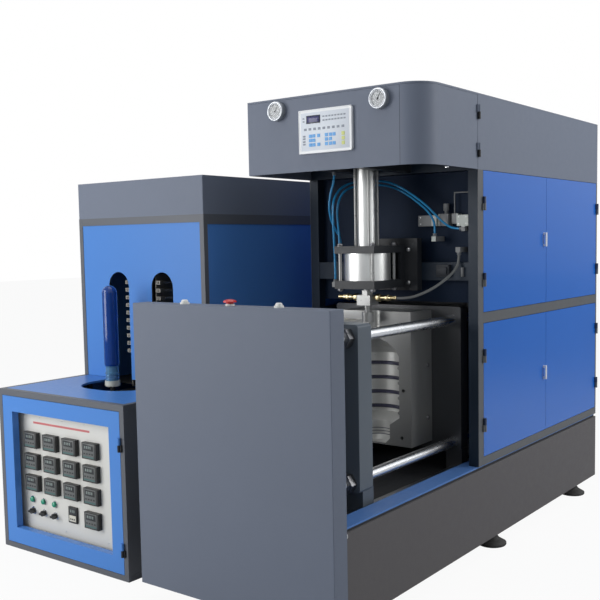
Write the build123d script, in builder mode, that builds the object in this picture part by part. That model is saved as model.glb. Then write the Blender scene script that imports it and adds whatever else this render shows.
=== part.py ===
"""Two-stage bottle blow moulding machine: a preform heater and a blowing press. Millimetres, +Z up."""

from build123d import *
from math import cos, pi, radians, sin, tan
import os

# Fits and gaps
run_fit = 0.06
weld_gap = 0.3
seat_gap = 0.3
door_gap = 2.0

# Press: overall
press_width = 908.0
foot_height = 70.0
base_height = 356.0
press_top = 2054.0
head_height = 324.0
desk_depth = 79.0
cabinet_front = 1138.0
cabinet_back = 2605.0
head_front = 687.0

# Press: base
cover_thick = 8.0
cover_reveal = 16.0
beam_width = 85.0
beam_wall = 6.0
deck_drop = 59.0
deck_thick = 12.0
cross_section = 60.0
foot_radius = 67.5
foot_insets = (221.0, 247.0, 205.0)
stem_radius = 14.0
rail_gauge = 600.0
rail_width = 34.0
rail_height = 30.0

# Press: desk and its buttons
desk_overhang = 28.0
desk_top = 1203.0
desk_wall = 4.0
button_pitch = 232.0
button_y = 40.0
button_radius = 13.0
button_height = 17.0
button_travel = 5.0
stop_radius = 25.0
collar_radius = 18.0
collar_height = 7.0

# Press: cabinet
post = 48.0
rear_strip = 15.0
door_thick = 22.0
door_skin = 3.0
door_split = 1884.0
sill_top = 463.0
mid_low = 1062.0
mid_high = 1108.0
crown_thick = 8.0
partition_thick = 4.0
partition_low = 1150.0
lintel_height = 60.0
carrier_beam_low = 1250.0
carrier_beam_high = 1330.0
hinge_radius = 7.0
hinge_half = 30.0
hinge_pin = 4.0
hinge_lug = 13.0
hinge_inset = 145.0
handle_height = 70.0
handle_y = 1852.0
handle_offsets = (-2.5, 4.0)

# Press: head
head_corner = 115.0
head_skin = 6.0
cover_lift = 1.0
cover_hinge_rises = (82.0, 243.0)
gauge_radius = 42.0
gauge_depth = 24.0
gauge_drop = 56.0
gauge_places = (-279.0, 250.0)
keypad_width = 274.0
keypad_height = 183.0
keypad_centre_x = -20.0
keypad_rise = 166.0
keypad_depth = 12.0

# Clamp unit
platen_half = 354.0
platen_low = 480.0
platen_height = 640.0
front_platen_front = 350.0
front_platen_thick = 90.0
rear_platen_half = 340.0
rear_platen_thick = 60.0
rear_platen_extra = 10.0
tie_half = 302.0
tie_low = 515.0
tie_high = 1070.0
tie_radius = 22.5
tie_over = 48.0
nut_flats = 70.0
nut_thick = 36.0
shoe_width = 80.0
shoe_cheek = 17.0
shoe_over = 24.0
mould_half = 190.0
mould_low = 506.0
mould_height = 608.0
mould_thick = 185.0
rear_open = 53.0
rear_face = 1005.0
cross_front = 1560.0
cross_thick = 50.0
cap_thick = 35.0
cap_half = 130.0
clamp_bore = 100.0
clamp_wall = 12.0
clamp_rod = 30.0
clamp_piston = 40.0
lock_rod = 35.0
end_room = 5.0
rod_reach = 40.0
yoke_thick = 60.0

# Bottle cavity: body, foot, neck and ribs
cavity_radius = 128.0
cavity_foot_radius = 76.0
cavity_low = 514.0
cavity_foot = 86.0
rib_depth = 8.0
rib_width = 18.0
rib_pitch = 68.0
rib_count = 4
rib_first = 648.0
shoulder_low = 912.0
neck_low = 990.0
neck_radius = 31.0
guide_pins = ((150.0, 760.0), (140.0, 545.0))
pin_radius = 8.0
pin_length = 30.0

# Blowing column
column_y = 952.0
seal_plate = 210.0
seal_low = 1221.0
seal_low_thick = 36.0
seal_barrel_height = 120.0
seal_top_thick = 32.0
seal_bore = 100.0
seal_wall = 4.0
seal_rod_spacing = 173.0
seal_rod_radius = 7.0
seal_piston = 40.0
nozzle_travel = 28.0
nozzle_over = 3.0
nozzle_rod = 20.0
nozzle_tip = 1069.0
nozzle_block = 70.0
nozzle_block_height = 45.0
nozzle_nut_flats = 46.0
nozzle_nut_gap = 10.0
nozzle_stem = 13.0
nozzle_sleeve = 27.0
sleeve_height = 44.0
fitting_length = 119.0
stretch_bore = 40.0
stretch_wall = 3.0
stretch_cap = 30.0
stretch_cap_half = 47.5
stretch_rod_half = 36.0
stretch_tie_radius = 5.0
stretch_radius = 8.0
stretch_drop = 75.0
stretch_piston = 40.0
rod_hole_gap = 0.3
bracket_half = 171.0
bracket_low = 1205.0
bracket_high = 1440.0
bracket_thick = 40.0

# Heater: overall
heater_width = 881.0
unit_gap = 204.0
heater_setback = 85.0
heater_post = 26.0
heater_depth = 1815.0
table_depth = 512.0
table_top_z = 762.0
table_edge = 28.0
table_thick = 10.0
hood_low = 1567.0
heater_top = 1744.5
hood_skin = 4.0
heater_sill = 25.0
heater_rail = 36.0
heater_skin = 8.0
heater_inset = 2.0
slot_half_pitch = 154.5
slot_half_width = 73.5
slot_top = 1298.0

# Heater: control cabinet
front_door_thick = 20.0
front_door_skin = 4.0
window_half = 342.0
window_low = 102.0
window_high = 660.0
window_return = 30.0
panel_y = 57.0
panel_thick = 3.0
meter_width = 96.0
meter_height = 74.0
meter_depth = 20.0
meter_pitch_x = 141.5
meter_pitch_z = 103.0
meter_first_x = -262.5
meter_first_z = 319.0
extra_meter_z = 209.0
relay_x = 17.0
relay_width = 58.0
relay_height = 74.0
relay_depth = 10.0
lamp_pitch = 82.0
lamp_first_x = -281.0
lamp_z = 236.0
lamp_radius = 13.0
lamp_depth = 12.0
switch_z = 181.0
switch_radius = 13.0
switch_shaft = 5.0
switch_depth = 16.0
lever_length = 40.0
lever_width = 9.0

# Heater: preform transport and lamps
wheel_setback = 2.0
wheel_y = table_depth + wheel_setback
bed_setback = 88.0
beam_half = 60.0
beam_reach = 50.0
wheel_radius = 188.0
wheel_low = 690.0
wheel_thick = 10.0
wheel_shaft = 20.0
wheel_hub = 44.0
hub_height = 40.0
carrier_radius = 165.0
carrier_angle = -103.0
opening_side = 208.0
opening_radius = 168.0
opening_y = 383.0
spindle_radius = 12.0
holder_radius = 36.0
holder_height = 28.0
preform_low = 784.0
preform_radius = 35.5
preform_height = 457.0
preform_wall = 4.0
preform_neck = 72.0
neck_ring = 34.0
lamp_bank_half = 92.0
lamp_bank_skin = 4.0
tube_pitch = 38.0
tube_count = 10
tube_first = 905.0
tube_radius = 6.0
holder_depth = 30.0
holder_reach = 28.0
bed_z = 720.0
bed_thick = 6.0
bed_beam = 40.0

# The origin is the middle of the whole machine's footprint, on the floor
left_end = -press_width / 2 - unit_gap - heater_width
right_end = press_width / 2 + desk_overhang
press_x = -(left_end + right_end) / 2
press_y = -cabinet_back / 2
heater_x = press_x - press_width / 2 - unit_gap - heater_width / 2
heater_y = press_y + heater_setback

half = press_width / 2
crown_low = press_top - head_height
gauge_level = press_top - gauge_drop
keypad_centre_z = crown_low + keypad_rise
cover_hinge_levels = [crown_low + rise for rise in cover_hinge_rises]
base_top = foot_height + base_height
beam_out = half - cover_thick
beam_in = beam_out - beam_width
deck_top = base_top - deck_drop
deck_low = deck_top - deck_thick
rail_top = deck_top + rail_height
half_h = heater_width / 2

os.makedirs("parts", exist_ok=True)


def plan(x, y, z):
    """Plan view of the press: x from its middle, y from the desk's front."""
    return Plane(origin=(press_x + x, press_y + y, z))


def heater_plan(x, y, z):
    """Plan view of the heater: x from its middle, y from its front."""
    return Plane(origin=(heater_x + x, heater_y + y, z))


def facing(x, y, z):
    """Front view of the press, seen along +Y: a positive extrusion comes forward."""
    return Plane(origin=(press_x + x, press_y + y, z), x_dir=(1, 0, 0), z_dir=(0, -1, 0))


def heater_facing(x, y, z):
    """Front view of the heater, seen along +Y."""
    return Plane(origin=(heater_x + x, heater_y + y, z), x_dir=(1, 0, 0), z_dir=(0, -1, 0))


def side_on(x, y, z):
    """Side view of the press, seen from the right: a positive extrusion goes to +X."""
    return Plane(origin=(press_x + x, press_y + y, z), x_dir=(0, 1, 0), z_dir=(1, 0, 0))


def bar(x, y, z, place=plan, mode=Mode.ADD):
    """A square-edged bar between the given limits."""
    with BuildSketch(place((x[0] + x[1]) / 2, (y[0] + y[1]) / 2, z[0])) as outline:
        Rectangle(x[1] - x[0], y[1] - y[0])
    extrude(outline.sketch, amount=z[1] - z[0], mode=mode)


def upright(x, y, z, radius, place=plan, mode=Mode.ADD):
    """A round bar or hole along Z."""
    with BuildSketch(place(x, y, z[0])) as outline:
        Circle(radius)
    extrude(outline.sketch, amount=z[1] - z[0], mode=mode)


def lengthwise(x, z, y, radius, place=facing, mode=Mode.ADD):
    """A round bar or hole along Y."""
    with BuildSketch(place(x, y[0], z)) as outline:
        Circle(radius)
    extrude(outline.sketch, amount=-(y[1] - y[0]), mode=mode)


def crosswise(y, z, x, radius, mode=Mode.ADD):
    """A round bar or hole along X."""
    with BuildSketch(side_on(x[0], y, z)) as outline:
        Circle(radius)
    extrude(outline.sketch, amount=x[1] - x[0], mode=mode)


def both(low, high):
    """The same span on the left and on the right."""
    return ((-high, -low), (low, high))


def save(piece, label):
    """Labels a finished piece and writes it."""
    piece.label = label
    export_step(piece, "parts/" + label + ".step")


# Levelling feet: rubber cone pads on threaded stems
foot_ys = (desk_depth + foot_insets[0], cabinet_front + foot_insets[1], cabinet_back - foot_insets[2])
foot_x = half - 58.0
with BuildPart() as feet:
    for y in foot_ys:
        for x in (-foot_x, foot_x):
            with BuildSketch(facing(x, y, 0)) as profile:
                with BuildLine():
                    Polyline(
                        (0, 0),
                        (foot_radius - 3, 0),
                        (foot_radius, 4),
                        (foot_radius, 12),
                        (foot_radius * 0.55, 30),
                        (foot_radius * 0.38, 44),
                        (stem_radius, 44),
                        (stem_radius, foot_height),
                        (0, foot_height),
                        close=True,
                    )
                make_face()
            revolve(profile.sketch, axis=Axis(plan(x, y, 0).origin, (0, 0, 1)))
save(feet.part, "levelling_feet")

# Base frame: two hollow beams with cross members and the deck between them
cross_ys = (600.0, 1100.0, 1585.0, 2077.0)
end_room_y = desk_depth + cross_section
back_room_y = cabinet_back - cover_thick - cross_section
with BuildPart() as base_frame:
    for low, high in both(beam_in, beam_out):
        bar((low, high), (desk_depth, cabinet_back - cover_thick), (foot_height, base_top))
        bar(
            (low + beam_wall, high - beam_wall),
            (desk_depth, cabinet_back - cover_thick),
            (foot_height + beam_wall, base_top - beam_wall),
            mode=Mode.SUBTRACT,
        )
    inner = beam_in - weld_gap
    bar((-inner, inner), (desk_depth, end_room_y), (foot_height, base_top))
    bar((-inner, inner), (back_room_y, back_room_y + cross_section), (foot_height, base_top))
    for y in cross_ys:
        span = (y - cross_section / 2, y + cross_section / 2)
        bar((-inner, inner), span, (deck_low - cross_section - weld_gap, deck_low - weld_gap))
    bar((-inner, inner), (end_room_y + weld_gap, back_room_y - weld_gap), (deck_low, deck_top))
save(base_frame.part, "base_frame")

# Base covers: flat sheets on both sides and at the back
with BuildPart() as base_covers:
    for low, high in both(beam_out, half):
        bar((low, high), (desk_depth, cabinet_back), (foot_height, base_top - cover_reveal))
    back = beam_out - weld_gap
    bar((-back, back), (cabinet_back - cover_thick, cabinet_back), (foot_height, base_top - cover_reveal))
save(base_covers.part, "base_covers")

# Guide rails: waisted rails in two lengths, on either side of the cross plate
rail_x = rail_gauge / 2
cross_back = cross_front + cross_thick
rail_spans = ((250.0, cross_front - 8), (cross_back + 8, 2500.0))
with BuildPart() as rails:
    for x in (-rail_x, rail_x):
        for y0, y1 in rail_spans:
            with BuildSketch(facing(x, y0, deck_top)) as profile:
                with BuildLine():
                    Polyline(
                        (-rail_width / 2, 0),
                        (rail_width / 2, 0),
                        (rail_width / 2, rail_height * 0.35),
                        (rail_width * 0.36, rail_height * 0.5),
                        (rail_width / 2, rail_height * 0.72),
                        (rail_width / 2, rail_height),
                        (-rail_width / 2, rail_height),
                        (-rail_width / 2, rail_height * 0.72),
                        (-rail_width * 0.36, rail_height * 0.5),
                        (-rail_width / 2, rail_height * 0.35),
                        close=True,
                    )
                make_face()
            extrude(profile.sketch, amount=-(y1 - y0))
save(rails.part, "guide_rails")

# Guard desk: a folded sheet tray, open at the back
desk_half = half + desk_overhang
with BuildPart() as desk:
    bar((-desk_half, desk_half), (0, desk_depth), (foot_height, desk_top))
    fillet(desk.edges().filter_by(Axis.Z).group_by(Axis.Y)[0], radius=3)
    fillet(desk.edges().filter_by(Axis.X).group_by(Axis.Y)[0].group_by(Axis.Z)[-1], radius=3)
    bar(
        (-desk_half + desk_wall, desk_half - desk_wall),
        (desk_wall, desk_depth),
        (foot_height + desk_wall, desk_top - desk_wall),
        mode=Mode.SUBTRACT,
    )
    for x in (-button_pitch, 0, button_pitch):
        upright(x, button_y, (desk_top - desk_wall, desk_top), button_radius + seat_gap, mode=Mode.SUBTRACT)
save(desk.part, "desk_shell")

# Button collars on the desk
with BuildPart() as collars:
    collar_span = (desk_top, desk_top + collar_height)
    for x in (-button_pitch, 0, button_pitch):
        upright(x, button_y, collar_span, collar_radius)
        upright(x, button_y, collar_span, button_radius + seat_gap, mode=Mode.SUBTRACT)
    chamfer(collars.edges().group_by(Axis.Z)[-1], length=1.2)
save(collars.part, "button_collars")


def palm_button(x, label):
    """A tapered palm button that sinks into its collar."""
    with BuildPart() as button:
        with BuildSketch(facing(x, button_y, desk_top)) as profile:
            with BuildLine():
                Polyline(
                    (0, -11),
                    (button_radius, -11),
                    (button_radius, collar_height + button_travel),
                    (button_radius - 1.5, button_height - 3),
                    (button_radius - 4.5, button_height),
                    (0, button_height),
                    close=True,
                )
            make_face()
        revolve(profile.sketch, axis=Axis(plan(x, button_y, 0).origin, (0, 0, 1)))
    save(button.part, label)


palm_button(-button_pitch, "palm_button_left")
palm_button(button_pitch, "palm_button_right")

# Stop button: a mushroom head on a stem
stop_under = collar_height + button_travel + 0.6
with BuildPart() as stop:
    with BuildSketch(facing(0, button_y, desk_top)) as profile:
        with BuildLine():
            Polyline(
                (0, -11),
                (button_radius, -11),
                (button_radius, stop_under),
                (stop_radius, stop_under),
                (stop_radius, stop_under + 4),
                (stop_radius * 0.8, stop_under + 8.5),
                (stop_radius * 0.4, stop_under + 11),
                (0, stop_under + 11.6),
                close=True,
            )
        make_face()
    revolve(profile.sketch, axis=Axis(plan(0, button_y, 0).origin, (0, 0, 1)))
save(stop.part, "stop_button")

# Cabinet frame: posts, sills, middle rails, lintel and the beam that carries the blowing column
rail_ys = (cabinet_front + post + weld_gap, cabinet_back - post - weld_gap)
with BuildPart() as cabinet:
    for low, high in both(half - post, half):
        bar((low, high), (cabinet_front, cabinet_front + post), (base_top, crown_low))
        bar((low, high), (cabinet_back - post, cabinet_back), (base_top, crown_low))
        bar((low, high), rail_ys, (base_top, sill_top))
        bar((low, high), rail_ys, (mid_low, mid_high))
    behind = half - door_thick - seat_gap
    for low, high in both(behind - post, behind):
        middle = (door_split - post / 2, door_split + post / 2)
        bar((low, high), middle, (sill_top + weld_gap, mid_low - weld_gap))
        bar((low, high), middle, (mid_high + weld_gap, crown_low))
    for low, high in both(half - door_thick - door_gap, half):
        bar(
            (low, high),
            (cabinet_back - post, cabinet_back - rear_strip),
            (sill_top, mid_low),
            mode=Mode.SUBTRACT,
        )
        bar(
            (low, high),
            (cabinet_back - post, cabinet_back - rear_strip),
            (mid_high, crown_low),
            mode=Mode.SUBTRACT,
        )
    between = half - post - weld_gap
    front_span = (cabinet_front + 2, cabinet_front + post)
    bar((-between, between), front_span, (carrier_beam_low, carrier_beam_high))
    lintel = half - crown_thick - weld_gap
    bar((-lintel, lintel), front_span, (crown_low + weld_gap, crown_low + lintel_height))
    back_span = (cabinet_back - post, cabinet_back - 10)
    bar((-between, between), back_span, (base_top, sill_top))
    bar((-between, between), back_span, (mid_low, mid_high))
save(cabinet.part, "cabinet_frame")

# Fixed sheet panels: left side and back
with BuildPart() as panels:
    lows = (sill_top + door_gap, mid_high + door_gap)
    highs = (mid_low - door_gap, crown_low - door_gap)
    skin = (-half + 2, -half + door_thick)
    for low, high in zip(lows, highs):
        bar(skin, (cabinet_front + post + door_gap, door_split - 1), (low, high))
        bar(skin, (door_split + 1, cabinet_back - rear_strip - door_gap), (low, high))
        bar((-between, between), (cabinet_back - 24, cabinet_back - 10.5), (low - 1.7, high + 1.7))
save(panels.part, "fixed_panels")

# Partition behind the blowing column
with BuildPart() as partition:
    wide = half - 30
    back_of_post = cabinet_front + post
    bar((-wide, wide), (back_of_post, back_of_post + partition_thick), (partition_low, crown_low - 1))
save(partition.part, "partition_panel")

# Crown: side, back and roof sheets above the doors
with BuildPart() as crown:
    crown_high = press_top - crown_thick - weld_gap
    bar((-half, -half + crown_thick), (head_front + head_skin + 1, cabinet_back), (crown_low, crown_high))
    bar((half - crown_thick, half), (cabinet_front, cabinet_back), (crown_low, crown_high))
    bar((-lintel, lintel), (cabinet_back - crown_thick, cabinet_back), (crown_low, crown_high))
    with BuildSketch(plan(0, (head_front + cabinet_back) / 2, press_top - crown_thick)) as roof:
        Rectangle(press_width, cabinet_back - head_front)
        fillet(roof.vertices().group_by(Axis.Y)[0].sort_by(Axis.X)[-1:], radius=head_corner)
    extrude(roof.sketch, amount=crown_thick)
save(crown.part, "crown_panels")


def hinge_lug_at(ax, ay, towards, outward, z, place):
    """One half of a lift-off hinge: a barrel beside its lug."""
    cx = ax + towards[0] * hinge_lug / 2 - outward[0] * (hinge_radius + 0.5) / 2
    cy = ay + towards[1] * hinge_lug / 2 - outward[1] * (hinge_radius + 0.5) / 2
    wide = abs(towards[0]) * hinge_lug + abs(outward[0]) * (hinge_radius + 0.5)
    deep = abs(towards[1]) * hinge_lug + abs(outward[1]) * (hinge_radius + 0.5)
    bar((cx - wide / 2, cx + wide / 2), (cy - deep / 2, cy + deep / 2), z, place)
    upright(ax, ay, z, hinge_radius, place)


def fixed_hinge(ax, ay, towards, outward, level, place=plan):
    """The lower half, with the pin."""
    away = (-towards[0], -towards[1])
    hinge_lug_at(ax, ay, away, outward, (level - hinge_half, level), place)
    upright(ax, ay, (level, level + hinge_half - 4), hinge_pin, place)


def moving_hinge(ax, ay, towards, outward, level, place=plan):
    """The upper half, with the bore."""
    hinge_lug_at(ax, ay, towards, outward, (level, level + hinge_half), place)
    upright(ax, ay, (level, level + hinge_half - 3), hinge_pin + run_fit, place, Mode.SUBTRACT)


# Where the doors hang: axis, direction towards the door and its two levels
hinge_out = hinge_radius + 0.5
hinge_x = half + hinge_out
front_hinge_y = cabinet_front + post
rear_hinge_y = cabinet_back - rear_strip
cover_hinge_y = cabinet_front - 1.5
lower_levels = (sill_top + hinge_inset, mid_low - hinge_inset)
upper_levels = (mid_high + hinge_inset, crown_low - hinge_inset)
door_x = half_h - heater_post
front_door_low = heater_sill + door_gap
front_door_high = table_top_z - table_edge - door_gap
door_levels = (front_door_low + 110, front_door_high - 140)
with BuildPart() as hinges:
    for level in lower_levels + upper_levels:
        fixed_hinge(hinge_x, front_hinge_y, (0, 1), (1, 0), level)
        fixed_hinge(hinge_x, rear_hinge_y, (0, -1), (1, 0), level)
    for level in cover_hinge_levels:
        fixed_hinge(hinge_x, cover_hinge_y, (0, -1), (1, 0), level)
    for level in door_levels:
        fixed_hinge(door_x, -hinge_out, (-1, 0), (0, -1), level, heater_plan)
save(hinges.part, "hinge_barrels")


def cabinet_door(ys, zs, hinge_y, towards, levels, label, handle_z=None):
    """A pan door: skin, turned edges and hinge halves; the leading door has a pull."""
    with BuildPart() as door:
        bar((half - door_thick, half), ys, zs)
        bar(
            (half - door_thick, half - door_skin),
            (ys[0] + door_skin, ys[1] - door_skin),
            (zs[0] + door_skin, zs[1] - door_skin),
            mode=Mode.SUBTRACT,
        )
        for level in levels:
            moving_hinge(hinge_x, hinge_y, towards, (1, 0), level)
        if handle_z:
            with BuildSketch(side_on(half, handle_y, handle_z)) as foot_print:
                RectangleRounded(16, handle_height, 6)
            extrude(foot_print.sketch, amount=16)
            bar(
                (half, half + 11),
                (handle_y - 8, handle_y + 8),
                (handle_z - handle_height / 2 + 12, handle_z + handle_height / 2 - 12),
                mode=Mode.SUBTRACT,
            )
    save(door.part, label)


handle_levels = (
    (sill_top + mid_low) / 2 + handle_offsets[0],
    (mid_high + crown_low) / 2 + handle_offsets[1],
)
front_ys = (cabinet_front + post + door_gap, door_split - 1.5)
rear_ys = (door_split + 1.5, cabinet_back - rear_strip - door_gap)
low_zs = (sill_top + door_gap, mid_low - door_gap)
high_zs = (mid_high + door_gap, crown_low - door_gap)
cabinet_door(front_ys, low_zs, front_hinge_y, (0, 1), lower_levels, "front_lower_door", handle_levels[0])
cabinet_door(front_ys, high_zs, front_hinge_y, (0, 1), upper_levels, "front_upper_door", handle_levels[1])
cabinet_door(rear_ys, low_zs, rear_hinge_y, (0, -1), lower_levels, "rear_lower_door")
cabinet_door(rear_ys, high_zs, rear_hinge_y, (0, -1), upper_levels, "rear_upper_door")

# Head cover: front sheet, round corner and right side in one piece
cover_low = crown_low + cover_lift
cover_high = press_top - crown_thick - cover_lift
cover_end = cabinet_front - 3
with BuildPart() as head_cover:
    with BuildSketch(plan(0, 0, cover_low)) as outline:
        with BuildLine():
            Line((-half, head_front), (half - head_corner, head_front))
            JernArc((half - head_corner, head_front), (1, 0), head_corner, 90)
            Line((half, head_front + head_corner), (half, cover_end))
            Line((half, cover_end), (half - head_skin, cover_end))
            Line((half - head_skin, cover_end), (half - head_skin, head_front + head_corner))
            JernArc(
                (half - head_skin, head_front + head_corner),
                (0, -1),
                head_corner - head_skin,
                -90,
            )
            Line((half - head_corner, head_front + head_skin), (-half, head_front + head_skin))
            Line((-half, head_front + head_skin), (-half, head_front))
        make_face()
    extrude(outline.sketch, amount=cover_high - cover_low)
    for level in cover_hinge_levels:
        moving_hinge(hinge_x, cover_hinge_y, (0, -1), (1, 0), level)
save(head_cover.part, "head_cover")

# Key panel on the head cover
with BuildPart() as keypad:
    with BuildSketch(facing(keypad_centre_x, head_front, keypad_centre_z)) as outline:
        RectangleRounded(keypad_width, keypad_height, 14)
    extrude(outline.sketch, amount=keypad_depth)
    chamfer(keypad.faces().sort_by(Axis.Y)[0].edges(), length=2.5)
save(keypad.part, "control_panel")

# Pressure gauges
with BuildPart() as gauges:
    for x in gauge_places:
        with BuildSketch(side_on(x, head_front, gauge_level)) as profile:
            with BuildLine():
                Polyline(
                    (0, 0),
                    (0, gauge_radius),
                    (-gauge_depth + 6, gauge_radius),
                    (-gauge_depth, gauge_radius - 4),
                    (-gauge_depth, gauge_radius - 8),
                    (-gauge_depth + 4, gauge_radius - 9),
                    (-gauge_depth + 4, 0),
                    close=True,
                )
            make_face()
        revolve(profile.sketch, axis=Axis(plan(x, head_front, gauge_level).origin, (0, 1, 0)))
save(gauges.part, "pressure_gauges")

# Clamp unit: sizes that follow from the strokes
tie_mid = (tie_low + tie_high) / 2
front_platen_back = front_platen_front + front_platen_thick
front_face = front_platen_back + mould_thick
closing_y = rear_face - rear_open
clamp_stroke = closing_y - front_face
rear_platen_front = rear_face + mould_thick
rear_platen_back = rear_platen_front + rear_platen_thick
platen_top = platen_low + platen_height
clamp_inner = clamp_stroke + clamp_piston + 2 * end_room
clamp_back = cross_back + 2 * cap_thick + clamp_inner
lock_inner = rear_open + clamp_piston + 2 * end_room
lock_front = cross_front - 2 * cap_thick - lock_inner
yoke_front = clamp_back + rod_reach
yoke_back = yoke_front + yoke_thick
tie_front = front_platen_front - tie_over
tie_back = yoke_back + tie_over
tie_places = [(x, z) for x in (-tie_half, tie_half) for z in (tie_low, tie_high)]


def shoes(y0, y1, low_edge):
    """Two guide shoes that straddle the rails, under a platen."""
    for x in (-rail_x, rail_x):
        bar((x - shoe_width / 2, x + shoe_width / 2), (y0, y1), (rail_top - shoe_cheek, low_edge))
        bar(
            (x - rail_width / 2 - 0.5, x + rail_width / 2 + 0.5),
            (y0, y1),
            (rail_top - shoe_cheek, rail_top + seat_gap),
            mode=Mode.SUBTRACT,
        )


def tie_holes(y0, y1):
    """Four holes for the tie bars."""
    for x, z in tie_places:
        lengthwise(x, z, (y0, y1), tie_radius + run_fit, mode=Mode.SUBTRACT)


# Front platen: ribbed on its front face
with BuildPart() as front_platen:
    bar((-platen_half, platen_half), (front_platen_front, front_platen_back), (platen_low, platen_top))
    fillet(front_platen.edges().filter_by(Axis.Y), radius=12)
    pocket = (front_platen_front, front_platen_front + front_platen_thick * 0.45)
    for x0, x1 in both(22, 240):
        for z0, z1 in ((platen_low + 50, tie_mid - 12), (tie_mid + 12, platen_top - 50)):
            bar((x0, x1), pocket, (z0, z1), mode=Mode.SUBTRACT)
    shoes(front_platen_front + 40, front_platen_back + shoe_over, platen_low + 1)
    tie_holes(front_platen_front, front_platen_back)
save(front_platen.part, "front_platen")


def cavity(parting_y):
    """Cuts half of the bottle: foot, ribbed body, shoulder and neck."""
    points = [(0, cavity_low), (cavity_foot_radius * 0.7, cavity_low), (cavity_foot_radius, cavity_low + 22)]
    points.append((cavity_foot_radius, cavity_low + cavity_foot))
    points.append((cavity_radius, cavity_low + cavity_foot + 34))
    for i in range(rib_count):
        low = rib_first + i * rib_pitch
        points.append((cavity_radius, low))
        points.append((cavity_radius - rib_depth, low + rib_width * 0.25))
        points.append((cavity_radius - rib_depth, low + rib_width * 0.75))
        points.append((cavity_radius, low + rib_width))
    points.append((cavity_radius, shoulder_low))
    points.append((cavity_radius * 0.86, shoulder_low + 30))
    points.append((cavity_radius * 0.5, neck_low - 14))
    points.append((neck_radius, neck_low))
    points.append((neck_radius, mould_low + mould_height + 1))
    points.append((0, mould_low + mould_height + 1))
    with BuildSketch(facing(0, parting_y, 0)) as profile:
        with BuildLine():
            Polyline(*points, close=True)
        make_face()
    revolve(profile.sketch, axis=Axis(plan(0, parting_y, 0).origin, (0, 0, 1)), mode=Mode.SUBTRACT)


# Mould halves: guide pins on the front one, their bores in the rear one
pin_places = [(side * x, z) for x, z in guide_pins for side in (-1, 1)]
with BuildPart() as front_mould:
    bar((-mould_half, mould_half), (front_platen_back, front_face), (mould_low, mould_low + mould_height))
    cavity(front_face)
    for x, z in pin_places:
        lengthwise(x, z, (front_face, front_face + pin_length), pin_radius)
save(front_mould.part, "front_mould")

with BuildPart() as rear_mould:
    bar((-mould_half, mould_half), (rear_face, rear_platen_front), (mould_low, mould_low + mould_height))
    cavity(rear_face)
    for x, z in pin_places:
        hole = (rear_face, rear_face + pin_length + 4)
        lengthwise(x, z, hole, pin_radius + run_fit, mode=Mode.SUBTRACT)
save(rear_mould.part, "rear_mould")

# Tie bars with chamfered ends
with BuildPart() as tie_bars:
    for x, z in tie_places:
        lengthwise(x, z, (tie_front, tie_back), tie_radius)
    chamfer(tie_bars.edges().group_by(Axis.Y)[0], length=3)
    chamfer(tie_bars.edges().group_by(Axis.Y)[-1], length=3)
save(tie_bars.part, "tie_bars")

# Tie bar nuts
with BuildPart() as nuts:
    for x, z in tie_places:
        for y in (front_platen_front - nut_thick, yoke_back):
            with BuildSketch(facing(x, y, z)) as outline:
                RegularPolygon(nut_flats / 2, 6, major_radius=False)
                Circle(tie_radius + run_fit, mode=Mode.SUBTRACT)
            extrude(outline.sketch, amount=-nut_thick)
save(nuts.part, "tie_bar_nuts")

# Tail yoke at the far end of the tie bars
with BuildPart() as yoke:
    bar((-platen_half, platen_half), (yoke_front, yoke_back), (platen_low, platen_top))
    fillet(yoke.edges().filter_by(Axis.Y), radius=12)
    shoes(yoke_front - shoe_over, yoke_back, platen_low + 1)
    tie_holes(yoke_front, yoke_back)
save(yoke.part, "tail_yoke")

# Clamp rod: piston, rod and the flange on the yoke
clamp_start = cross_back + cap_thick + end_room
with BuildPart() as clamp_piston_rod:
    lengthwise(0, tie_mid, (clamp_start, clamp_start + clamp_piston), clamp_bore - run_fit)
    lengthwise(0, tie_mid, (clamp_start + clamp_piston, yoke_front), clamp_rod)
    lengthwise(0, tie_mid, (yoke_front - 20, yoke_front), clamp_rod * 2)
save(clamp_piston_rod.part, "clamp_rod")

# Rear platen with its shoes
rear_top = platen_top + rear_platen_extra
with BuildPart() as rear_platen:
    rear_span = (rear_platen_front, rear_platen_back)
    bar((-rear_platen_half, rear_platen_half), rear_span, (platen_low, rear_top))
    fillet(rear_platen.edges().filter_by(Axis.Y), radius=12)
    shoes(rear_platen_front + 4, rear_platen_back, platen_low + 1)
    tie_holes(rear_platen_front, rear_platen_back)
save(rear_platen.part, "rear_platen")

# Lock rod: short-stroke piston behind the rear platen
lock_stop = cross_front - cap_thick - end_room
with BuildPart() as lock_piston_rod:
    lengthwise(0, tie_mid, (lock_stop - clamp_piston, lock_stop), clamp_bore - run_fit)
    lengthwise(0, tie_mid, (rear_platen_back, lock_stop - clamp_piston), lock_rod)
    lengthwise(0, tie_mid, (rear_platen_back, rear_platen_back + 20), lock_rod * 2)
save(lock_piston_rod.part, "lock_rod")

# Cross plate: stands on the deck and carries both clamp cylinders
with BuildPart() as cross_plate:
    bar((-platen_half, platen_half), (cross_front, cross_back), (deck_top, rear_top))
    tie_holes(cross_front, cross_back)
    for x0, x1 in both(60, 220):
        bar((x0, x1), (cross_front, cross_back), (deck_top + 60, platen_low + 40), mode=Mode.SUBTRACT)
save(cross_plate.part, "cross_plate")


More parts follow.
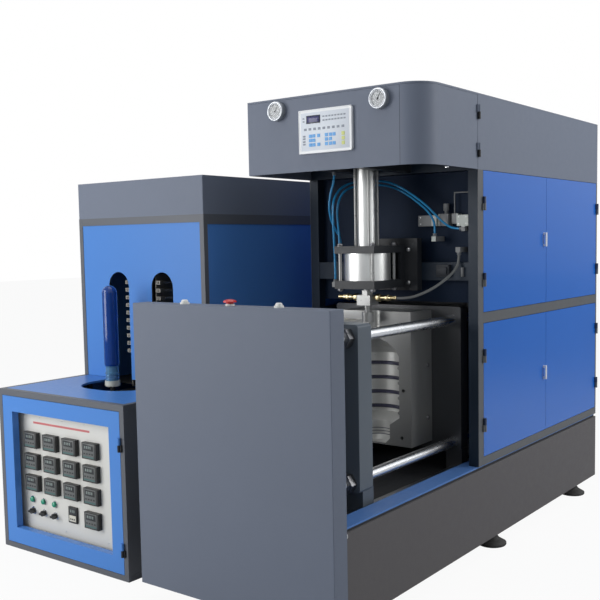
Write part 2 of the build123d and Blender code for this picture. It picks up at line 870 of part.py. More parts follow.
def square_cylinder(y0, y1, rod, open_end):
    """A tie-rod type cylinder: two square caps and a barrel, open at one end for its rod."""
    for a, b in ((y0, y0 + cap_thick), (y1 - cap_thick, y1)):
        bar((-cap_half, cap_half), (a, b), (tie_mid - cap_half, tie_mid + cap_half))
    lengthwise(0, tie_mid, (y0 + cap_thick, y1 - cap_thick), clamp_bore + clamp_wall)
    for x in (-cap_half + 20, cap_half - 20):
        for z in (tie_mid - cap_half + 20, tie_mid + cap_half - 20):
            lengthwise(x, z, (y0 + cap_thick, y1 - cap_thick), 8)
    lengthwise(0, tie_mid, (y0 + cap_thick, y1 - cap_thick), clamp_bore, mode=Mode.SUBTRACT)
    lengthwise(0, tie_mid, open_end, rod + run_fit, mode=Mode.SUBTRACT)


with BuildPart() as clamp_cylinders:
    square_cylinder(lock_front, cross_front, lock_rod, (lock_front, lock_front + cap_thick))
    square_cylinder(cross_back, clamp_back, clamp_rod, (clamp_back - cap_thick, clamp_back))
save(clamp_cylinders.part, "clamp_cylinders")

# Blowing column: levels
seal_barrel_low = seal_low + seal_low_thick
seal_top_low = seal_barrel_low + seal_barrel_height
seal_top = seal_top_low + seal_top_thick
stretch_top = press_top - stretch_drop
plate_half = seal_plate / 2
seal_rod_half = seal_rod_spacing / 2
corners = [(x, y) for x in (-1, 1) for y in (-1, 1)]

# Barrels of the seal and stretch cylinders
with BuildPart() as barrels:
    upright(0, column_y, (seal_barrel_low, seal_top_low), seal_bore + seal_wall)
    upright(0, column_y, (seal_barrel_low, seal_top_low), seal_bore, mode=Mode.SUBTRACT)
    upright(0, column_y, (seal_top, stretch_top), stretch_bore + stretch_wall)
    cap_span = (column_y - stretch_cap_half, column_y + stretch_cap_half)
    bar((-stretch_cap_half, stretch_cap_half), cap_span, (stretch_top, stretch_top + stretch_cap))
    upright(0, column_y, (seal_top, stretch_top), stretch_bore, mode=Mode.SUBTRACT)
    for sx, sy in corners:
        place = (sx * stretch_rod_half, column_y + sy * stretch_rod_half)
        cap = (stretch_top, stretch_top + stretch_cap)
        upright(*place, cap, stretch_tie_radius + rod_hole_gap, mode=Mode.SUBTRACT)
save(barrels.part, "cylinder_barrels")

# Bright tie rods of both cylinders
with BuildPart() as column_rods:
    for sx, sy in corners:
        place = (sx * seal_rod_half, column_y + sy * seal_rod_half)
        upright(*place, (seal_low - 12, seal_top + 12), seal_rod_radius)
        place = (sx * stretch_rod_half, column_y + sy * stretch_rod_half)
        upright(*place, (seal_top, stretch_top + stretch_cap + 8), stretch_tie_radius)
save(column_rods.part, "cylinder_tie_rods")

# Column supports: the bracket whose arms close the seal cylinder, and beams under the head's roof
bracket_back = cabinet_front + 2
column_front = column_y - plate_half
with BuildPart() as supports:
    plate_span = (bracket_back - bracket_thick, bracket_back)
    bar((-bracket_half, bracket_half), plate_span, (bracket_low, bracket_high))
    for z0, z1, hole in (
        (seal_low, seal_barrel_low, nozzle_rod + run_fit),
        (seal_top_low, seal_top, stretch_radius + run_fit),
    ):
        bar((-plate_half, plate_half), (column_front, bracket_back - bracket_thick), (z0, z1))
        upright(0, column_y, (z0, z1), hole, mode=Mode.SUBTRACT)
        for sx, sy in corners:
            place = (sx * seal_rod_half, column_y + sy * seal_rod_half)
            upright(*place, (z0, z1), seal_rod_radius + rod_hole_gap, mode=Mode.SUBTRACT)
    rib_y = (column_y + seal_bore + seal_wall + 12, bracket_back - bracket_thick)
    for x in (-plate_half + 8, plate_half - 8):
        bar((x - 6, x + 6), rib_y, (seal_barrel_low, seal_top_low))
    for low, high in both(70, 120):
        bar((low, high), (head_front + 60, cabinet_front + 1.7), (crown_low + 6, crown_low + 56))
    bar((-lintel, 300), (head_front + 20, head_front + 60 - weld_gap), (crown_low + 6, crown_low + 56))
save(supports.part, "column_supports")

# Nozzle: piston, rod, nut, cross block and stem, bored for the stretch rod
piston_top = seal_top_low - end_room
block_low = mould_low + mould_height + nozzle_over + nozzle_travel
nut_low = block_low + nozzle_block_height
nozzle_nut = seal_low - nut_low - nozzle_nut_gap
with BuildPart() as nozzle:
    upright(0, column_y, (piston_top - seal_piston, piston_top), seal_bore - run_fit)
    upright(0, column_y, (nut_low, piston_top - seal_piston), nozzle_rod)
    with BuildSketch(plan(0, column_y, nut_low)) as hexagon:
        RegularPolygon(nozzle_nut_flats / 2, 6, major_radius=False)
    extrude(hexagon.sketch, amount=nozzle_nut)
    side = (-nozzle_block / 2, nozzle_block / 2)
    bar(side, (column_y + side[0], column_y + side[1]), (block_low, nut_low))
    upright(0, column_y, (nozzle_tip, nozzle_tip + sleeve_height), nozzle_sleeve)
    upright(0, column_y, (nozzle_tip + sleeve_height, block_low), nozzle_stem)
    upright(0, column_y, (block_low - 12, block_low), nozzle_stem + 4)
    upright(0, column_y, (nozzle_tip, piston_top), stretch_radius + run_fit, mode=Mode.SUBTRACT)
save(nozzle.part, "nozzle_block")

# Brass fittings on both sides of the cross block
fitting_z = block_low + 34
fitting_end = nozzle_block / 2 + fitting_length
with BuildPart() as fittings:
    for sign in (-1, 1):
        steps = ((0, 12, 9), (12, 36, 14), (36, 44, 9), (44, 92, 12), (92, fitting_length, 8))
        for a, b, radius in steps:
            ends = sorted((sign * (nozzle_block / 2 + a), sign * (nozzle_block / 2 + b)))
            crosswise(column_y, fitting_z, ends, radius)
save(fittings.part, "nozzle_fittings")

# Stretch rod: rod with its piston in the upper barrel
stretch_piston_top = stretch_top - end_room
with BuildPart() as stretch:
    upright(0, column_y, (nozzle_tip + 6, stretch_piston_top), stretch_radius)
    upright(
        0,
        column_y,
        (stretch_piston_top - stretch_piston, stretch_piston_top),
        stretch_bore - run_fit,
    )
save(stretch.part, "stretch_rod")

# Valves on the partition, with the ports and elbows where the hoses end
valve_front = cabinet_front + 4
hose_radius = 5.0
blow_hose_radius = 6.0
elbow = 11.0
elbow_y = {"lower": 869.0, "upper": 905.0, "left": 936.0}
elbow_x = {"lower": 116.0, "upper": 116.0, "left": 131.0}
elbow_z = {"lower": seal_low + 7, "upper": seal_top - 27, "left": seal_top - 27}
main_port = (380.0, 1135.0, 1478.0)
branch_port = (252.0, 1118.0, 1446.0)
blow_port = (366.0, 1128.0, 1375.0)
with BuildPart() as valves:
    bar((154, 246), (valve_front, back_of_post), (1492, 1540))
    bar((258, 306), (valve_front, back_of_post), (1492, 1545))
    upright(285, valve_front + 22, (1545, 1560), 8)
    upright(285, valve_front + 22, (1560, 1590), 13)
    bar((348, 404), (valve_front, back_of_post), (1490, 1538))
    bar((318, 348), (valve_front + 10, back_of_post), (1500, 1545))
    upright(327, valve_front + 22, (1545, 1640), 3)
    crosswise(valve_front + 22, 1637, (327, 400), 3)
    x, y, z = main_port
    bar((x, x + 16), (y - elbow, back_of_post), (z - elbow, z + elbow + 1))
    for x, y, z in (branch_port, blow_port):
        span = (z - 2 * elbow, z) if z == branch_port[2] else (z, z + 2 * elbow)
        bar((x - elbow, x + elbow), (y - elbow, back_of_post), span)
    for key in elbow_y:
        side = (-elbow_x[key] - elbow, -plate_half)
        around = (elbow_y[key] - elbow, elbow_y[key] + elbow)
        bar(side, around, (elbow_z[key], elbow_z[key] + 2 * elbow))
save(valves.part, "valve_bank")


def hose(points, radius, label):
    """A hose along straight runs and tangent arcs, each arc as large as its two runs allow."""
    corners_of = [Vector(press_x + x, press_y + y, z) for x, y, z in points]
    runs = [b - a for a, b in zip(corners_of, corners_of[1:])]
    radii = []
    for before, after in zip(runs, runs[1:]):
        turn = radians(before.get_angle(after))
        radii.append(0.45 * min(before.length, after.length) / tan(turn / 2))
    with BuildPart() as tube:
        with BuildLine() as route:
            FilletPolyline(*corners_of, radius=radii)
        path = route.wire()
        with BuildSketch(Plane(origin=path @ 0, z_dir=path % 0)) as section:
            Circle(radius)
        sweep(section.sketch, path=path)
    ratio = tube.part.volume / (pi * radius**2 * path.length)
    print(label, "length", round(path.length), "volume ratio", round(ratio, 4))
    turns = [round(a.get_angle(b)) for a, b in zip(runs, runs[1:])]
    print("  radii", [round(r) for r in radii], "turns", turns)
    save(tube.part, label)


# Air hoses: from the seal cylinder over the top to the valves, and up into the head
low_port_top = elbow_z["lower"] + 2 * elbow
top_port_top = elbow_z["upper"] + 2 * elbow
hose(
    (
        (-elbow_x["lower"], elbow_y["lower"], low_port_top),
        (-elbow_x["lower"], elbow_y["lower"], low_port_top + 90),
        (-114, 860, 1440),
        (-112, 850, 1540),
        (-113, 855, 1612),
        (-112, 900, 1662),
        (-103, 962, 1691),
        (-66, 1017, 1701),
        (0, 1042, 1702),
        (66, 1043, 1691),
        (130, 1045, 1662),
        (188, 1060, 1622),
        (236, 1080, 1580),
        (272, 1104, 1532),
        (300, 1124, 1500),
        (main_port[0] - 45, main_port[1], main_port[2]),
        main_port,
    ),
    hose_radius,
    "air_hose_lower",
)
hose(
    (
        (-elbow_x["upper"], elbow_y["upper"], top_port_top),
        (-elbow_x["upper"], elbow_y["upper"], top_port_top + 50),
        (-119, 896, 1520),
        (-117, 890, 1585),
        (-113, 918, 1640),
        (-104, 972, 1674),
        (-70, 1034, 1683),
        (0, 1062, 1684),
        (68, 1062, 1672),
        (138, 1064, 1638),
        (200, 1082, 1590),
        (234, 1100, 1552),
        (252, 1113, 1512),
        (branch_port[0], branch_port[1], branch_port[2] + 32),
        branch_port,
    ),
    hose_radius,
    "air_hose_upper",
)
hose(
    (
        (-112, 866, crown_low + 6),
        (-112, 866, crown_low - 30),
        (-128, 858, 1645),
        (-138, 858, 1585),
        (-138, 872, 1525),
        (-134, 905, 1478),
        (-elbow_x["left"], elbow_y["left"], 1448),
        (-elbow_x["left"], elbow_y["left"], top_port_top),
    ),
    hose_radius,
    "air_hose_left",
)
hose(
    (
        (fitting_end, column_y, fitting_z),
        (fitting_end + 50, column_y, fitting_z),
        (244, 984, 1191),
        (296, 1030, 1222),
        (336, 1078, 1264),
        (358, 1112, 1300),
        (blow_port[0], blow_port[1], blow_port[2] - 40),
        blow_port,
    ),
    blow_hose_radius,
    "blow_hose",
)

# Heater frame: sills, posts, rails and the dark side sheets of the control cabinet
edge = (half_h - heater_post, half_h)
cross_half = half_h - heater_post - weld_gap
rail_low = hood_low - heater_rail
with BuildPart() as heater_frame:
    for low, high in both(*edge):
        bar((low, high), (0, heater_depth), (0, heater_sill), heater_plan)
        bar(
            (low, high),
            (0, heater_post),
            (heater_sill + weld_gap, table_top_z - table_edge - weld_gap),
            heater_plan,
        )
        for y in (table_depth, heater_depth - heater_post):
            bar((low, high), (y, y + heater_post), (heater_sill + weld_gap, hood_low), heater_plan)
        bar(
            (low, high),
            (heater_post + weld_gap, table_depth - weld_gap),
            (table_top_z - table_edge, table_top_z),
            heater_plan,
        )
        bar(
            (low, high),
            (table_depth + heater_post + weld_gap, heater_depth - heater_post - weld_gap),
            (rail_low - 10, hood_low),
            heater_plan,
        )
    for low, high in both(half_h - heater_inset - heater_skin, half_h - heater_inset):
        bar(
            (low, high),
            (heater_post + weld_gap, table_depth - weld_gap),
            (heater_sill + weld_gap, table_top_z - table_edge - weld_gap),
            heater_plan,
        )
    bar((-half_h, half_h), (0, heater_post), (table_top_z - table_edge, table_top_z), heater_plan)
    for y in (0, heater_depth - heater_post):
        bar((-cross_half, cross_half), (y, y + heater_post), (0, heater_sill), heater_plan)
    for y in (table_depth, heater_depth - heater_post):
        bar((-cross_half, cross_half), (y, y + heater_post), (rail_low, hood_low), heater_plan)
save(heater_frame.part, "heater_frame")

# Oven panels: sides, back, and the front with two arched slots that run down to the table
with BuildPart() as oven_panels:
    for low, high in both(half_h - heater_inset - heater_skin, half_h - heater_inset):
        bar(
            (low, high),
            (table_depth + heater_post + weld_gap, heater_depth - heater_post - weld_gap),
            (heater_sill + weld_gap, rail_low - 10 - weld_gap),
            heater_plan,
        )
    bar(
        (-cross_half, cross_half),
        (heater_depth - heater_inset - heater_skin, heater_depth - heater_inset),
        (heater_sill + weld_gap, rail_low - weld_gap),
        heater_plan,
    )
    front_y = table_depth + heater_inset
    with BuildSketch(heater_facing(0, front_y, 0)) as outline:
        with Locations((0, (table_top_z + seat_gap + rail_low - weld_gap) / 2)):
            Rectangle(2 * cross_half, rail_low - weld_gap - table_top_z - seat_gap)
        arch = slot_top - slot_half_width
        for x in (-slot_half_pitch, slot_half_pitch):
            with Locations((x, arch)):
                Circle(slot_half_width, mode=Mode.SUBTRACT)
            with Locations((x, (table_top_z + arch) / 2)):
                Rectangle(2 * slot_half_width, arch - table_top_z, mode=Mode.SUBTRACT)
    extrude(outline.sketch, amount=-heater_skin)
save(oven_panels.part, "oven_panels")

# Oven hood: a shallow folded cover, open below
with BuildPart() as hood:
    bar((-half_h, half_h), (table_depth, heater_depth), (hood_low, heater_top), heater_plan)
    fillet(hood.edges().filter_by(Axis.Z), radius=4)
    bar(
        (-half_h + hood_skin, half_h - hood_skin),
        (table_depth + hood_skin, heater_depth - hood_skin),
        (hood_low, heater_top - hood_skin),
        heater_plan,
        Mode.SUBTRACT,
    )
    for low, high in both(half_h - heater_post, half_h - hood_skin):
        for y in (table_depth + hood_skin, heater_depth - heater_post):
            bar((low, high), (y, y + heater_post - hood_skin), (hood_low, hood_low + 3), heater_plan)
save(hood.part, "oven_hood")

# Table top with the opening for the preform carrier
with BuildPart() as table:
    with BuildSketch(heater_plan(0, 0, table_top_z - table_thick)) as outline:
        with Locations((0, (heater_post + table_depth) / 2)):
            Rectangle(2 * cross_half, table_depth - heater_post - 2 * weld_gap)
        offset_x = opening_side - opening_radius
        with Locations((-offset_x, opening_y), (offset_x, opening_y)):
            Circle(opening_radius, mode=Mode.SUBTRACT)
        with Locations((0, opening_y)):
            Rectangle(2 * offset_x, 2 * opening_radius, mode=Mode.SUBTRACT)
        with Locations((0, (opening_y + table_depth) / 2)):
            Rectangle(2 * opening_side, table_depth - opening_y, mode=Mode.SUBTRACT)
    extrude(outline.sketch, amount=table_thick)
save(table.part, "table_top")

# Front door of the control cabinet: pan with a window and an inward return
with BuildPart() as front_door:
    door_half = door_x - door_gap
    bar((-door_half, door_half), (0, front_door_thick), (front_door_low, front_door_high), heater_plan)
    bar(
        (-door_half + front_door_skin, door_half - front_door_skin),
        (front_door_skin, front_door_thick),
        (front_door_low + front_door_skin, front_door_high - front_door_skin),
        heater_plan,
        Mode.SUBTRACT,
    )
    rim = window_half + front_door_skin
    bar(
        (-rim, rim),
        (front_door_skin - 1, front_door_skin + window_return),
        (window_low - front_door_skin, window_high + front_door_skin),
        heater_plan,
    )
    bar(
        (-window_half, window_half),
        (0, front_door_skin + window_return),
        (window_low, window_high),
        heater_plan,
        Mode.SUBTRACT,
    )
    for level in door_levels:
        moving_hinge(door_x, -hinge_out, (-1, 0), (0, -1), level, heater_plan)
save(front_door.part, "control_door")

# Instrument panel, with bosses and bores for the switches
panel_half = half_h - heater_inset - heater_skin - weld_gap
panel_back = panel_y + panel_thick
switch_xs = [lamp_first_x + i * lamp_pitch for i in range(3)]
with BuildPart() as instrument_panel:
    panel_low = heater_sill + 10
    panel_high = table_top_z - table_edge - 10
    bar((-panel_half, panel_half), (panel_y, panel_back), (panel_low, panel_high), heater_plan)
    for x in switch_xs:
        lengthwise(x, switch_z, (panel_y - 3, panel_y), switch_radius + 3, heater_facing)
        hole = (panel_y - 3, panel_back)
        lengthwise(x, switch_z, hole, switch_shaft + run_fit, heater_facing, Mode.SUBTRACT)
save(instrument_panel.part, "instrument_panel")

# Panel meters and the relay: framed boxes
meter_places = []
for row in range(3):
    for column in range(4):
        place = (meter_first_x + column * meter_pitch_x, meter_first_z + row * meter_pitch_z)
        meter_places.append((*place, meter_width, meter_height, meter_depth))
last_x = meter_first_x + 3 * meter_pitch_x
meter_places.append((last_x, extra_meter_z, meter_width, meter_height, meter_depth))
meter_places.append((relay_x, extra_meter_z, relay_width, relay_height, relay_depth))
with BuildPart() as meters:
    for x, z, width, height, depth in meter_places:
        with BuildSketch(heater_facing(x, panel_y, z)) as outline:
            Rectangle(width, height)
        extrude(outline.sketch, amount=depth)
        with BuildSketch(heater_facing(x, panel_y - depth, z)) as window:
            Rectangle(width - 12, height - 12)
        extrude(window.sketch, amount=-2.5, mode=Mode.SUBTRACT)
save(meters.part, "panel_meters")

# Pilot lamps: domed lenses
with BuildPart() as pilots:
    for x in switch_xs:
        lengthwise(x, lamp_z, (panel_y - lamp_depth * 0.35, panel_y), lamp_radius, heater_facing)
        low = (panel_y - lamp_depth, panel_y - lamp_depth * 0.35)
        lengthwise(x, lamp_z, low, lamp_radius * 0.72, heater_facing)
    chamfer(pilots.edges().group_by(Axis.Y)[0], length=3)
save(pilots.part, "pilot_lamps")


def selector(x, label):
    """A selector switch: shaft, knob and lever."""
    with BuildPart() as knob:
        front = panel_y - 3 - seat_gap
        lengthwise(x, switch_z, (front, panel_back + 4), switch_shaft, heater_facing)
        lengthwise(x, switch_z, (front - switch_depth, front), switch_radius, heater_facing)
        with BuildSketch(heater_facing(x, front - switch_depth, switch_z)) as grip:
            with Locations((lever_length * 0.22, 0)):
                SlotOverall(lever_length, lever_width)
        extrude(grip.sketch, amount=9)
    save(knob.part, label)


selector(switch_xs[0], "selector_left")
selector(switch_xs[1], "selector_middle")
selector(switch_xs[2], "selector_right")

# Transport bed: oven floor, the beam under the table and the carrier's fixed shaft
bed_top = bed_z + bed_thick
beam_low = wheel_low - 70
beam_high = beam_low + bed_beam
beam_front = wheel_y - beam_reach
bed_front = table_depth + bed_setback
bed_half = half_h - heater_inset - heater_skin - weld_gap
with BuildPart() as bed:
    bar((-bed_half, bed_half), (bed_front, heater_depth - heater_post - 4), (bed_z, bed_top), heater_plan)
    bar((-bed_half, bed_half), (beam_front, table_depth - 1), (beam_low, beam_high), heater_plan)
    bar((-beam_half, beam_half), (beam_front, wheel_y + beam_reach), (beam_low, beam_high), heater_plan)
    upright(0, wheel_y, (beam_low, wheel_low + wheel_thick + 30), wheel_shaft, heater_plan)
save(bed.part, "transport_bed")

# Carrier wheel: disc and hub on the fixed shaft, with a hole for the spindle
carrier = radians(carrier_angle)
spindle_x = carrier_radius * cos(carrier)
spindle_y = wheel_y + carrier_radius * sin(carrier)
wheel_top = wheel_low + wheel_thick
with BuildPart() as wheel:
    upright(0, wheel_y, (wheel_low, wheel_top), wheel_radius, heater_plan)
    upright(0, wheel_y, (beam_high + seat_gap, beam_high + hub_height + 8), wheel_hub, heater_plan)
    upright(0, wheel_y, (beam_high, wheel_top + 10), wheel_shaft + run_fit, heater_plan, Mode.SUBTRACT)
    for angle in range(0, 360, 60):
        turn = radians(carrier_angle + 30 + angle)
        x = carrier_radius * 0.62 * cos(turn)
        y = wheel_y + carrier_radius * 0.62 * sin(turn)
        upright(x, y, (wheel_low, wheel_top), 30, heater_plan, Mode.SUBTRACT)
    hole = (wheel_low, wheel_top)
    upright(spindle_x, spindle_y, hole, spindle_radius + run_fit, heater_plan, Mode.SUBTRACT)
save(wheel.part, "carrier_wheel")

# Spindle with the holder that plugs the preform's neck
holder_low = preform_low - holder_height
plug_radius = preform_radius - preform_wall - 5.5 - seat_gap
with BuildPart() as spindle:
    with BuildSketch(heater_facing(spindle_x, spindle_y, 0)) as profile:
        with BuildLine():
            Polyline(
                (0, wheel_low - 10),
                (spindle_radius, wheel_low - 10),
                (spindle_radius, wheel_top + seat_gap),
                (spindle_radius * 2, wheel_top + seat_gap),
                (spindle_radius * 2, wheel_top + 8),
                (spindle_radius, wheel_top + 14),
                (spindle_radius, holder_low),
                (holder_radius - 3, holder_low),
                (holder_radius, holder_low + 4),
                (holder_radius, preform_low),
                (plug_radius, preform_low),
                (plug_radius, preform_low + 24),
                (0, preform_low + 28),
                close=True,
            )
        make_face()
    revolve(profile.sketch, axis=Axis(heater_plan(spindle_x, spindle_y, 0).origin, (0, 0, 1)))
save(spindle.part, "spindle")

# Preform: threaded-neck zone, support ring and a domed body, neck down on its holder
preform_top = preform_low + preform_height
inner_radius = preform_radius - preform_wall
neck_inner = inner_radius - 5.5
neck_outer = neck_inner + preform_wall
dome_z = preform_top - preform_radius
with BuildPart() as preform:
    with BuildSketch(heater_facing(spindle_x, spindle_y, 0)) as profile:
        with BuildLine():
            Polyline(
                (0, preform_top - preform_wall),
                (0, preform_top),
            )
            CenterArc((0, dome_z), preform_radius, 0, 90)
            CenterArc((0, dome_z), inner_radius, 0, 90)
            Polyline(
                (preform_radius, dome_z),
                (preform_radius, preform_low + preform_neck + 8),
                (neck_outer, preform_low + preform_neck - 8),
                (neck_outer, preform_low + 40),
                (neck_ring, preform_low + 38),
                (neck_ring, preform_low + 34),
                (neck_outer, preform_low + 32),
                (neck_outer, preform_low),
                (neck_inner, preform_low),
                (neck_inner, preform_low + preform_neck - 4),
                (inner_radius, preform_low + preform_neck + 12),
                (inner_radius, dome_z),
            )
        make_face()
    revolve(profile.sketch, axis=Axis(heater_plan(spindle_x, spindle_y, 0).origin, (0, 0, 1)))
save(preform.part, "preform")

# Lamp racks: an upright sheet beside each lane with a holder at both ends of every tube
rack_y = (table_depth + 18, heater_depth - 90)
tube_levels = [tube_first + i * tube_pitch for i in range(tube_count)]
rack_out = lamp_bank_half + lamp_bank_skin
with BuildPart() as racks:
    for low, high in both(lamp_bank_half, rack_out):
        bar((low, high), rack_y, (bed_top, tube_levels[-1] + 40), heater_plan)
    for low, high in both(rack_out - 1, rack_out + holder_reach):
        for z in tube_levels:
            for y in (rack_y[0], rack_y[1] - holder_depth):
                bar((low, high), (y, y + holder_depth), (z - 9, z + 9), heater_plan)
save(racks.part, "lamp_racks")

# Quartz lamps
with BuildPart() as tubes:
    span = (rack_y[0] + holder_depth + seat_gap, rack_y[1] - holder_depth - seat_gap)
    for x in (-rack_out - holder_reach / 2, rack_out + holder_reach / 2):
        for z in tube_levels:
            lengthwise(x, z, span, tube_radius, heater_facing)
save(tubes.part, "quartz_lamps")
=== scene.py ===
"""Dresses the blow moulding machine: its paints, metals, plastics and the small pieces on its frame."""

from math import cos, pi, radians, sin

import bmesh
import bpy
from mathutils import Matrix, Vector


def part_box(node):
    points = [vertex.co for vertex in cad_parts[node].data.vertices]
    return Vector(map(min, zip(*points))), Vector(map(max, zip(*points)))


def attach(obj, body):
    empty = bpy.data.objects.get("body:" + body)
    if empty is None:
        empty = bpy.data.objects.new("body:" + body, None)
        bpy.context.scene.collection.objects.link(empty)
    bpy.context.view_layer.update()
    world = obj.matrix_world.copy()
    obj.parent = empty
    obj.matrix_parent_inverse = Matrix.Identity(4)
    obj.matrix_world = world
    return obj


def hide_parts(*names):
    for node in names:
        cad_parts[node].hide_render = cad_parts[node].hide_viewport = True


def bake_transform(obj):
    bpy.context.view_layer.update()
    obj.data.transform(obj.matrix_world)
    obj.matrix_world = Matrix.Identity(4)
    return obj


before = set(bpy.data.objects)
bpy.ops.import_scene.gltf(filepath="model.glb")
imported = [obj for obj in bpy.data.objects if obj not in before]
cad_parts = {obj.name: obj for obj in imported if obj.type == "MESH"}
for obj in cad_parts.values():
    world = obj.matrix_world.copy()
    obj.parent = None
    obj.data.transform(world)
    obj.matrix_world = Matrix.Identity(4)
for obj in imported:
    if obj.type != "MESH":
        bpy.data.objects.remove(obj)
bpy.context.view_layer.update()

# Middle and front of each unit, in the shared frame, in metres
PRESS = Vector((0.5285, -1.3025, 0.0))
HEATER = Vector((-0.570, -1.2175, 0.0))


def press(x, y, z):
    """A place on the press: x from its middle, y from the desk's front, z from the floor, in mm."""
    return PRESS + Vector((x, y, z)) / 1000


def heater(x, y, z):
    """A place on the heater: x from its middle, y from its front, z from the floor, in mm."""
    return HEATER + Vector((x, y, z)) / 1000


# ---------------------------------------------------------------- camera, light and floor
def set_camera():
    """The photograph's view: from the front right, a little above the desk's height."""
    lens = bpy.data.cameras.new("view")
    lens.lens, lens.sensor_width = 53.95, 36.0
    lens.shift_x, lens.shift_y = -0.0344, 0.0232
    eye = bpy.data.objects.new("view", lens)
    bpy.context.scene.collection.objects.link(eye)
    ahead = Vector((-0.5944, 0.8001, -0.0804)).normalized()
    right = ahead.cross(Vector((0, 0, 1))).normalized()
    up = right.cross(ahead)
    roll = radians(-0.99)
    across = cos(roll) * right + sin(roll) * up
    above = -sin(roll) * right + cos(roll) * up
    turn = Matrix((across, above, -ahead)).transposed().to_4x4()
    eye.matrix_world = Matrix.Translation((2.7576, -3.7060, 1.4326)) @ turn
    bpy.context.scene.camera = eye


def soft_light(name, place, aim, size, power):
    """A large square studio lamp."""
    lamp = bpy.data.lights.new(name, "AREA")
    lamp.shape, lamp.size, lamp.energy = "SQUARE", size, power
    holder = bpy.data.objects.new(name, lamp)
    bpy.context.scene.collection.objects.link(holder)
    holder.location = place
    holder.rotation_euler = (Vector(aim) - Vector(place)).to_track_quat("-Z", "Y").to_euler()


def seen_rays(nodes, links):
    """A switch that is 1 for what the camera sees, straight or through clear glass."""
    rays = nodes.new("ShaderNodeLightPath")
    either = nodes.new("ShaderNodeMath")
    either.operation = "MAXIMUM"
    links.new(rays.outputs["Is Camera Ray"], either.inputs[0])
    links.new(rays.outputs["Is Transmission Ray"], either.inputs[1])
    return either.outputs[0]


def set_studio():
    """White surroundings, a pale floor and three soft lamps."""
    scene = bpy.context.scene
    scene.view_settings.view_transform = "Standard"
    world = bpy.data.worlds.new("studio")
    scene.world = world
    world.use_nodes = True
    nodes, links = world.node_tree.nodes, world.node_tree.links
    nodes.clear()
    out = nodes.new("ShaderNodeOutputWorld")
    seen, fill = nodes.new("ShaderNodeBackground"), nodes.new("ShaderNodeBackground")
    shine, rays = nodes.new("ShaderNodeBackground"), nodes.new("ShaderNodeLightPath")
    height, level = nodes.new("ShaderNodeSeparateXYZ"), nodes.new("ShaderNodeMapRange")
    links.new(nodes.new("ShaderNodeTexCoord").outputs["Generated"], height.inputs[0])
    links.new(height.outputs[2], level.inputs["Value"])
    for label, value in (("From Min", -0.14), ("From Max", 0.16), ("To Min", 0.10), ("To Max", 0.85)):
        level.inputs[label].default_value = value
    links.new(level.outputs[0], shine.inputs["Strength"])
    shine.inputs["Color"].default_value = (0.94, 0.97, 1, 1)
    seen.inputs["Color"].default_value = (1, 1, 1, 1)
    fill.inputs["Color"].default_value = (0.90, 0.95, 1, 1)
    fill.inputs["Strength"].default_value = 0.36
    glossy, mix = nodes.new("ShaderNodeMixShader"), nodes.new("ShaderNodeMixShader")
    links.new(rays.outputs["Is Glossy Ray"], glossy.inputs[0])
    links.new(fill.outputs[0], glossy.inputs[1])
    links.new(shine.outputs[0], glossy.inputs[2])
    links.new(seen_rays(nodes, links), mix.inputs[0])
    links.new(glossy.outputs[0], mix.inputs[1])
    links.new(seen.outputs[0], mix.inputs[2])
    links.new(mix.outputs[0], out.inputs["Surface"])

    mesh = bmesh.new()
    bmesh.ops.create_grid(mesh, x_segments=1, y_segments=1, size=30)
    data = bpy.data.meshes.new("floor")
    mesh.to_mesh(data)
    mesh.free()
    floor = bpy.data.objects.new("floor", data)
    scene.collection.objects.link(floor)
    paint = bpy.data.materials.new("studio_floor")
    paint.use_nodes = True
    nodes, links = paint.node_tree.nodes, paint.node_tree.links
    nodes.clear()
    out = nodes.new("ShaderNodeOutputMaterial")
    matt, glow = nodes.new("ShaderNodeBsdfDiffuse"), nodes.new("ShaderNodeEmission")
    matt.inputs["Color"].default_value = (0.62, 0.63, 0.64, 1)
    glow.inputs["Color"].default_value = (1, 1, 1, 1)
    glow.inputs["Strength"].default_value = 1.0
    # No glow under the heater, where the camera can see the floor through the table's opening
    tree = paint.node_tree
    under_heater = inside(tree, (("X", -0.99, -0.15), ("Y", -1.19, 0.57)))
    brightness = sum_of(tree, "SUBTRACT", 0.94, under_heater, True)
    mix = nodes.new("ShaderNodeMixShader")
    links.new(sum_of(tree, "MULTIPLY", seen_rays(nodes, links), brightness), mix.inputs[0])
    links.new(matt.outputs[0], mix.inputs[1])
    links.new(glow.outputs[0], mix.inputs[2])
    links.new(mix.outputs[0], out.inputs["Surface"])
    data.materials.append(paint)

    soft_light("front_lamp", (-2.4, -4.4, 1.9), (-0.2, -0.8, 0.8), 2.8, 140)
    soft_light("right_lamp", (4.9, 2.2, 2.9), (0.9, 0.3, 1.2), 2.6, 120)
    soft_light("top_lamp", (0.3, -0.4, 5.4), (0.2, 0.0, 1.0), 3.6, 70)


# ---------------------------------------------------------------- shared effects
def effect(name, takes, gives):
    """An empty node group with its sockets, its input and output nodes."""
    tree = bpy.data.node_groups.new(name, "ShaderNodeTree")
    kinds = {"colour": "NodeSocketColor", "number": "NodeSocketFloat", "vector": "NodeSocketVector"}
    for label, kind in takes:
        tree.interface.new_socket(label, in_out="INPUT", socket_type=kinds[kind])
    for label, kind in gives:
        tree.interface.new_socket(label, in_out="OUTPUT", socket_type=kinds[kind])
    return tree, tree.nodes.new("NodeGroupInput"), tree.nodes.new("NodeGroupOutput")


def sum_of(tree, operation, a, b, clamp=False):
    """A Math node on two values, each a socket or a number."""
    node = tree.nodes.new("ShaderNodeMath")
    node.operation, node.use_clamp = operation, clamp
    for place, value in zip(node.inputs, (a, b)):
        if isinstance(value, (int, float)):
            place.default_value = value
        else:
            tree.links.new(value, place)
    return node.outputs[0]


